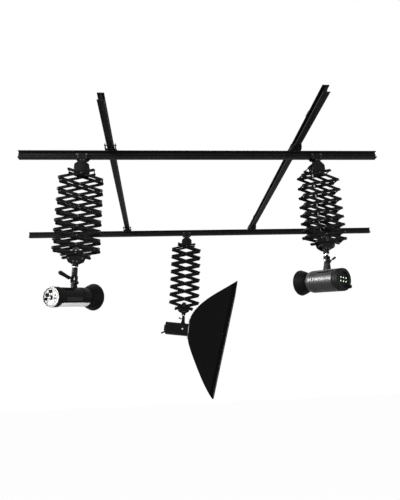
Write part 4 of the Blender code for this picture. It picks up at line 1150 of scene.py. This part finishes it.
def make_left_head():
    """A slim black spotlight: ribbed barrel, pale rear panel and cover below, a plain strip on each side."""
    radius, back, front, hang = head_sizes("left")
    barrel = radius - 0.003
    rear = [(-0.0085, 0.007), (-0.007, 0.0006), (-0.0045, 0), (-0.001, 0.002), (0, 0.005), (0, 0.020)]
    rear += [(0, 0.034), (0, 0.048), (0, 0.060), (-0.003, 0.063)]
    nose = [(-0.003, -0.075), (0, -0.072), (0, -0.012), (-0.003, -0.006), (-0.010, 0)]
    middle = [(barrel, back + 0.082 + 0.022 * i) for i in range(8)]
    profile = [(0, back + 0.007), *offset(rear, radius, back), *middle]
    shell = lathe([*profile, *offset(nose, radius, front), (0, front)], 60)
    vents(shell, back + 0.084, back + 0.168)
    for face in shell.faces:
        angle, level = around(face)
        if level < back + 0.0026 or (abs(angle) < 50 and back + 0.050 < level < front - 0.010):
            face.material_index = 2
    raised_panel(shell, 2, 0, 50, back + 0.083, front - 0.078, 0.0012)
    for angle in (-72, 72):
        raised_panel(shell, 3, angle, 10, back + 0.083, back + 0.235, 0.0009)
    made = Making("left_head_dressed", ("body", "slot", "pale", "plate"))
    made.join(shell)
    for level in (back + 0.063, front - 0.0735):
        made.add(lathe(ridge(barrel, level, 0.001, 0.0008, 0.0012), 48), "slot")
    left_panel(made, back, radius)
    dome(made, front)
    settle_head(made, "left", hang - radius + 0.010, 0.006)


def settle_head(made, name, drop, wider):
    """Adds the hanging ear, in the tilt bolt's frame, and places the lamp."""
    bolt = (shift(0, 0, -HEADS[name]["hang"]) @ TO_X).inverted()
    half = 0.014
    foot = half + wider
    outline = [(-foot, -drop), (foot, -drop), *arc((0.0, 0.0), half, 0, 180, 12)]
    made.add(in_xz(outline, -0.0134, 0.0134, 0.0010), "clamp", bolt)
    for x in (-foot + 0.005, foot - 0.005):
        made.bolt(0.0038, bolt @ shift(x, 0, -drop + 0.0105), washer=False)
    settle(made, f"{name}_head", [f"{name}_head"], FRAMES[name]["beam"])


def right_panel(made, back):
    """The large lamp's sunk rear panel: two rows of small lamps, keys, a handle and a knob at the rim."""
    plane = rear_place(back)
    inner = plane @ shift(0, 0, -0.011)
    made.add(rod(0.049, -0.0006, 0.0012, 48, 0.0004), "black", inner)
    for x in (-0.0125, 0.0125):
        made.add(block((x - 0.008, -0.040, 0.0008), (x + 0.008, 0.040, 0.0018), 0.0006), "slot", inner)
        for y in (-0.028, 0.0, 0.028):
            made.add(rod(0.0068, 0.0012, 0.0026, 24, 0.0003), "clamp", inner @ shift(x, y, 0))
            made.add(rod(0.0046, 0.0018, 0.0040, 20, 0.0009), "key", inner @ shift(x, y, 0))
    for y in (-0.016, 0.016):
        made.add(block((0.028, y - 0.007, 0.0008), (0.036, y + 0.007, 0.0036), 0.0008), "grip", inner)
    made.add(block((-0.040, -0.012, 0.0008), (-0.028, 0.012, 0.0030), 0.0006), "slot", inner)
    place = plane @ shift(0.044, 0.042, -0.001)
    made.add(rod(0.0150, 0.0, 0.0022, 32, 0.0006), "clamp", place)
    made.add(knob(0.0130, 0.0220, 20), "grip", place)
    for x, y in arc((0, 0), 0.064, 30, 330, 5):
        made.rivet(0.0032, 0.0014, plane @ shift(x, -y, 0.0), "clamp")


def make_right_head():
    """A larger glossy lamp: ribbed nose, smooth barrel, and a dark cap behind with its controls."""
    radius, back, front, hang = head_sizes("right")
    rear = [(-0.027, 0.011), (-0.0262, 0.003), (-0.0245, 0.0006), (-0.022, 0), (-0.006, 0), (-0.002, 0.0025)]
    rear += [(-0.0005, 0.007), (0, 0.020), (0, 0.040), (-0.004, 0.043), (-0.004, 0.050), (0, 0.053)]
    rear += [(0, level) for level in (0.085, 0.105, 0.125, 0.145, 0.165, 0.185)]
    nose = []
    for level in (-0.092, -0.074, -0.056):
        nose += [(0, level), (-0.0022, level + 0.0014), (-0.0022, level + 0.0046), (0, level + 0.006)]
    nose += [(0, -0.030), (-0.005, -0.012), (-0.012, -0.003), (-0.018, 0)]
    profile = [(0, back + 0.011), *offset(rear, radius, back), *offset(nose, radius, front), (0, front)]
    shell = lathe(profile, 60)
    for face in shell.faces:
        if around(face)[1] < back + 0.052:
            face.material_index = 2
    vents(shell, back + 0.086, back + 0.184)
    made = Making("right_head_dressed", ("gloss", "slot", "black"))
    made.join(shell)
    groove = [(-0.0035, 0.0452), (-0.0008, 0.0465), (-0.0035, 0.0478)]
    made.add(lathe(offset(groove, radius, back), 60), "alloy")
    right_panel(made, back)
    dome(made, front)
    settle_head(made, "right", hang - radius + 0.012, 0.012)


def make_centre_head():
    """A boxy moulded monolight with side vents, rear controls and the bayonet for the softbox ring."""
    radius, back, front, hang = head_sizes("centre")
    groove = radius - 0.0012
    made = Making("centre_head_dressed")
    stations = [(back + 0.012, 0.049), (back + 0.0132, 0.053), (back + 0.0185, radius)]
    stations += [(front - 0.060, radius), (front - 0.0585, groove), (front - 0.0565, groove)]
    stations += [(front - 0.055, radius), (front - 0.002, radius), (front, radius - 0.002)]
    made.add(rounded_box(stations, 0.018), "black")
    for side in (-1, 1):
        low, high = sorted((side * (radius - 0.0006), side * (radius + 0.0010)))
        for i in range(9):
            level = back + 0.060 + 0.014 * i
            made.add(block((-0.032, low, level), (0.032, high, level + 0.0055), 0.0006), "slot")
        made.add(rod(0.0085, 0.0, 0.0018, 28, 0.0005), "white", facing_y(side, 0, 0.006, radius - 0.0004))
    made.add(rod(HEAD_SPIGOT, front - 0.001, front + 0.022, 48, 0.0008), "alloy")
    profile = [(0, 0.021), (0.027, 0.021), (0.0268, 0.040), (0.024, 0.055), (0.016, 0.0625), (0, 0.066)]
    made.add(lathe(offset(profile, 0, front), 40), "dome")
    stub = [(back, 0.027), (back + 0.002, 0.030), (back + 0.013, 0.030)]
    made.add(rounded_box(stub, 0.008, 3), "grip")
    plane = rear_place(back)
    made.add(knob(0.0105, 0.0016, 20), "clamp", plane @ shift(0.0, 0.011, -0.0002))
    for x in (-0.015, 0.0, 0.015):
        made.add(rod(0.0034, -0.0004, 0.0014, 20, 0.0004), "pale", plane @ shift(x, -0.013, 0))
    for x, y in arc((0, 0), 0.046, 45, 315, 3):
        made.rivet(*PANEL_RIVET, shift(x, y, back + 0.0140) @ FLIP)
    bends = ((0.036, 0.018), (0.040, 0.004), (0.048, -0.010), (0.058, -0.026))
    lead = [Vector((x, 0.0, back + z)) for x, z in bends]
    made.add(tube(lead, 0.0075, 12), "grip")
    for share in (0.3, 0.5, 0.7):
        place = looking(lead[1].lerp(lead[3], share), lead[3] - lead[1])
        made.add(rod(0.0086, -0.0014, 0.0014, 16, 0.0005), "grip", place)
    settle_head(made, "centre", hang - radius + 0.006, 0.010)


def make_speedring():
    """The alloy ring between lamp and softbox, with four angled rod sockets."""
    start = HEADS["centre"]["front"] + GAP
    outer = SPEEDRING_RADIUS
    bore = HEAD_SPIGOT + 0.001
    end = start + SPEEDRING_DEPTH - 0.0005
    made = Making("speedring_dressed")
    profile = [(bore, start), (outer - 0.0015, start), (outer, start + 0.0015), (outer, end - 0.0015)]
    made.add(lathe([*profile, (outer - 0.0015, end), (bore, end)], 56), "alloy")
    for i in range(4):
        turn = turn_z(45 + 90 * i)
        low = (outer - 0.006, -0.009, start + 0.002)
        made.add(block(low, (ROD_SOCKET_REACH, 0.009, start + SPEEDRING_DEPTH), 0.0012), "alloy", turn)
        made.add(rod(0.0038, 0.0, 0.006, 6, 0.0004), "dull_zinc", turn @ shift(0.104, 0, start - 0.0035))
    settle(made, "centre_head", ["centre_speedring"], FRAMES["centre"]["beam"])


def hung(tall, wide, share):
    """A point of the softbox in the beam's frame. X is down. It sinks and tips more towards its front."""
    start = HEADS["centre"]["front"] + SPEEDRING_DEPTH + 2 * GAP
    drop = math.sin(share * math.pi / 2)
    tip = math.radians(SOFTBOX_DROOP) * drop
    low = tall + SOFTBOX_SAG * drop
    along = SOFTBOX_DEPTH * share
    down = low * math.cos(tip) + along * math.sin(tip)
    return Vector((down, wide, start - low * math.sin(tip) + along * math.cos(tip)))


def spread(share, inset):
    """Half the height and half the width of the cloth at a share of its depth."""
    grow = share**SOFTBOX_BOW
    halves = (SOFTBOX_HALF_HEIGHT, SOFTBOX_HALF_WIDTH)
    return [SOFTBOX_REAR + (half - SOFTBOX_REAR) * grow - inset for half in halves]


def face_out(bm, outward):
    """Turns a sheet's faces so that they look outward."""
    bmesh.ops.recalc_face_normals(bm, faces=bm.faces[:])
    if sum(face.normal.dot(outward(face.calc_center_median())) for face in bm.faces) < 0:
        bmesh.ops.reverse_faces(bm, faces=bm.faces[:])
    return bm


def panel_skin(side, inset, first, last, rows=26):
    """A cloth panel: a grid from rib to rib, drawn in between them, with creases out of the corners."""
    bm = bmesh.new()
    bmesh.ops.create_grid(bm, x_segments=rows, y_segments=30, size=1.0)
    sign = 1 if side < 2 else -1
    level = side % 2 == 0
    for vert in bm.verts:
        share = (first + (last - first) * (vert.co.x + 1) / 2) ** CLOTH_EASE
        across = vert.co.y
        tall, wide = spread(share, inset)
        middle = 1 - across * across
        slack = 0.045 * (wide if level else tall) * math.sin(math.pi * share) * middle
        crease = noise.noise(Vector((across * 7.0 + side * 7.3, share * 2.2, side * 3.1))) * 0.005
        crease += math.sin(9.0 * across + 14.0 * share) * 0.0016 * (1 - share)
        pull = slack + crease * middle * min(1.0, 6 * share) * min(1.0, 8 * (1 - share))
        if level:
            vert.co = hung(sign * (tall - pull), across * wide, share)
        else:
            vert.co = hung(across * tall, sign * (wide - pull), share)
    return face_out(bm, lambda centre: Vector((centre.x, centre.y, 0)))


def hem(share, inset, radius):
    """A taped edge round the cloth at one depth."""
    tall, wide = spread(share, inset)
    corner = 0.018
    points = [(tall, 0.0)]
    for i, (u, v) in enumerate(((1, 1), (-1, 1), (-1, -1), (1, -1))):
        points += arc((u * (tall - corner), v * (wide - corner)), corner, 90 * i, 90 * i + 90, 4)
    points.append((tall, -0.0004))
    return tube([hung(u, v, share) for u, v in points], radius, 8)


def make_softbox():
    """Black cloth over four sprung ribs, with taped seams and a silver lining."""
    beam = FRAMES["centre"]["beam"]
    skin = Making("softbox_cloth")
    lining = Making("softbox_lining")
    for side in range(4):
        skin.add(panel_skin(side, 0.0005, 0.0, 0.93), "cloth")
        skin.add(panel_skin(side, 0.0002, HEM_START, 1.0, 4), "hem")
        inner = panel_skin(side, 0.0045, 0.0, 0.99)
        bmesh.ops.reverse_faces(inner, faces=inner.faces[:])
        lining.add(inner, "lining")
    cloth = settle(skin, "centre_head", ["centre_softbox"], beam)
    silver = settle(lining, "centre_head", (), beam)
    ribs = Making("softbox_frame")
    shares = [(i / 24) ** CLOTH_EASE for i in range(25)]
    for u, v in ((-1, -1), (-1, 1), (1, -1), (1, 1)):
        for inset, short, radius, finish in ((0.0015, 1.0, 0.0026, "tape"), (0.0095, 0.995, 0.0022, "zinc")):
            points = []
            for share in shares:
                tall, wide = spread(share, inset)
                points.append(hung(u * tall, v * wide, share * short))
            ribs.add(tube(points, radius, 8), finish)
    ribs.add(hem(1.0, 0.0022, 0.0034), "tape")
    ribs.add(hem(0.0, 0.0, 0.0030), "tape")
    settle(ribs, "centre_head", (), beam)


def make_front_cloth():
    """The white front of the softbox, set back in its hem, with a slight belly."""
    sunk = 1.0 - SOFTBOX_RECESS / SOFTBOX_DEPTH
    tall, wide = spread(sunk, 0.0075)
    bm = bmesh.new()
    bmesh.ops.create_grid(bm, x_segments=30, y_segments=22, size=1.0)
    for vert in bm.verts:
        u, v, _ = vert.co
        slack = 0.008 * (1 - u**4) * (1 - v**4) + 0.0012 * noise.noise(Vector((u * 6, v * 6, 2.0)))
        vert.co = hung(u * tall, v * wide, sunk) + Vector((0, 0, slack))
    front = Making("softbox_front")
    front.add(face_out(bm, lambda centre: Vector((0, 0, 1))), "diffuser")
    white = settle(front, "centre_head", (), FRAMES["centre"]["beam"])
    2 * tall
    2 * wide


def make_brackets():
    """The zinc clamp blocks on the ceiling keep their solids' shape."""
    for name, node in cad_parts.items():
        if name.startswith("ceiling_bracket"):
            for slot in node.material_slots:
                slot.link = "OBJECT"
                slot.material = FINISHES["dull_zinc"]


WHITE = (1.0, 1.0, 1.0, 1.0)


def floor_material():
    """A pale floor that looks white to the eye and keeps the shadow."""
    look = Look("floor_pale", (0.86, 0.86, 0.86), 0.9)
    path = look.add("ShaderNodeLightPath", {}, {}, "Is Camera Ray")
    glow = look.add("ShaderNodeEmission", {}, {"Color": WHITE, "Strength": 1.0})
    body = Value(look, look.shader.outputs[0])
    mixed = look.add("ShaderNodeMixShader", {}, {0: path * 0.97, 1: body, 2: glow})
    look.feed(look.tree.nodes["Material Output"].inputs["Surface"], mixed)
    return look.material


def make_floor():
    """A wide floor below the lamps."""
    bm = bmesh.new()
    bmesh.ops.create_grid(bm, x_segments=1, y_segments=1, size=FLOOR_SIZE)
    bm.transform(shift(0, 0, -FLOOR_DROP))
    mesh = bpy.data.meshes.new("floor")
    bm.to_mesh(mesh)
    bm.free()
    mesh.materials.append(floor_material())
    floor = bpy.data.objects.new("floor", mesh)
    bpy.context.scene.collection.objects.link(floor)


def make_surround():
    """A surround that is white to the camera and in reflections, and dimmer as a light."""
    world = bpy.context.scene.world or bpy.data.worlds.new("studio")
    bpy.context.scene.world = world
    world.use_nodes = True
    sky = Nodes(world.node_tree)
    sky.tree.nodes.clear()
    camera = sky.add("ShaderNodeLightPath", {}, {}, "Is Camera Ray")
    glossy = sky.add("ShaderNodeLightPath", {}, {}, "Is Glossy Ray")
    soft = sky.add("ShaderNodeBackground", {}, {"Color": WHITE, "Strength": 0.45})
    seen = sky.add("ShaderNodeBackground", {}, {"Color": WHITE, "Strength": 1.0})
    either = sky.maths("MAXIMUM", camera, glossy)
    output = sky.tree.nodes.new("ShaderNodeOutputWorld")
    sky.feed(output.inputs["Surface"], sky.add("ShaderNodeMixShader", {}, {0: either, 1: soft, 2: seen}))


def add_lamp(name, kind, place, aim, power, **settings):
    """A lamp that the camera doesn't see, aimed at a point."""
    lamp = bpy.data.lights.new(name, kind)
    lamp.energy = power
    for key, value in settings.items():
        setattr(lamp, key, value)
    light = bpy.data.objects.new(name, lamp)
    light.visible_camera = False
    light.matrix_world = looking(Vector(place), Vector(aim) - Vector(place), "-Z")
    bpy.context.scene.collection.objects.link(light)


def make_lamps():
    """Three soft lamps, and a narrow one that draws the long highlight on the glossy barrel."""
    add_lamp("key", "AREA", (-2.6, -3.4, 0.9), (0.0, 0.8, -0.9), 120.0, shape="DISK", size=2.2)
    add_lamp("fill", "AREA", (3.2, -2.6, -1.6), (0.2, 0.8, -0.8), 60.0, shape="DISK", size=2.6)
    add_lamp("low", "AREA", (-0.4, -1.6, -2.6), (0.0, 0.9, -0.5), 30.0, shape="DISK", size=2.4)
    narrow = {"spot_size": math.radians(17), "spot_blend": 0.6, "shadow_soft_size": 0.8}
    add_lamp("spot", "SPOT", (-1.86, 0.3, -0.25), (0.86, 0.0, -1.2), 3600.0, **narrow)


def make_camera():
    """The photograph's view: from low in front, a little to the left."""
    yaw, pitch, roll = (math.radians(a) for a in (5.43, 17.24, -2.63))
    ahead = Vector((math.sin(yaw) * math.cos(pitch), math.cos(yaw) * math.cos(pitch), math.sin(pitch)))
    right = Vector((math.cos(yaw), -math.sin(yaw), 0.0))
    up = right.cross(ahead)
    across = right * math.cos(roll) + up * math.sin(roll)
    above = up * math.cos(roll) - right * math.sin(roll)
    lens = bpy.data.cameras.new("view")
    lens.sensor_fit = "VERTICAL"
    lens.sensor_height = 36.0
    lens.lens = 32.84
    lens.clip_end = 200.0
    camera = bpy.data.objects.new("view", lens)
    turn = Matrix((across, above, -ahead)).transposed().to_4x4()
    camera.matrix_world = shift(-0.351, -2.986, -1.769) @ turn
    bpy.context.scene.collection.objects.link(camera)
    bpy.context.scene.camera = camera


make_camera()
make_floor()
make_surround()
make_lamps()
make_brackets()
make_rails()
make_junctions()
for name in NAMES:
    make_carriage(name)
    make_top_bracket(name)
    make_bottom_bracket(name)
    make_drum(name)
    make_swivel(name)
    make_lever(name)
for name in ("left", "right"):
    make_side_lattice(name)
    make_side_strip(name)
    make_reflector(name)
make_centre_arms()
make_centre_strip()
make_left_head()
make_right_head()
make_centre_head()
make_speedring()
make_softbox()
make_front_cloth()

bpy.context.scene.view_settings.view_transform = "Standard"
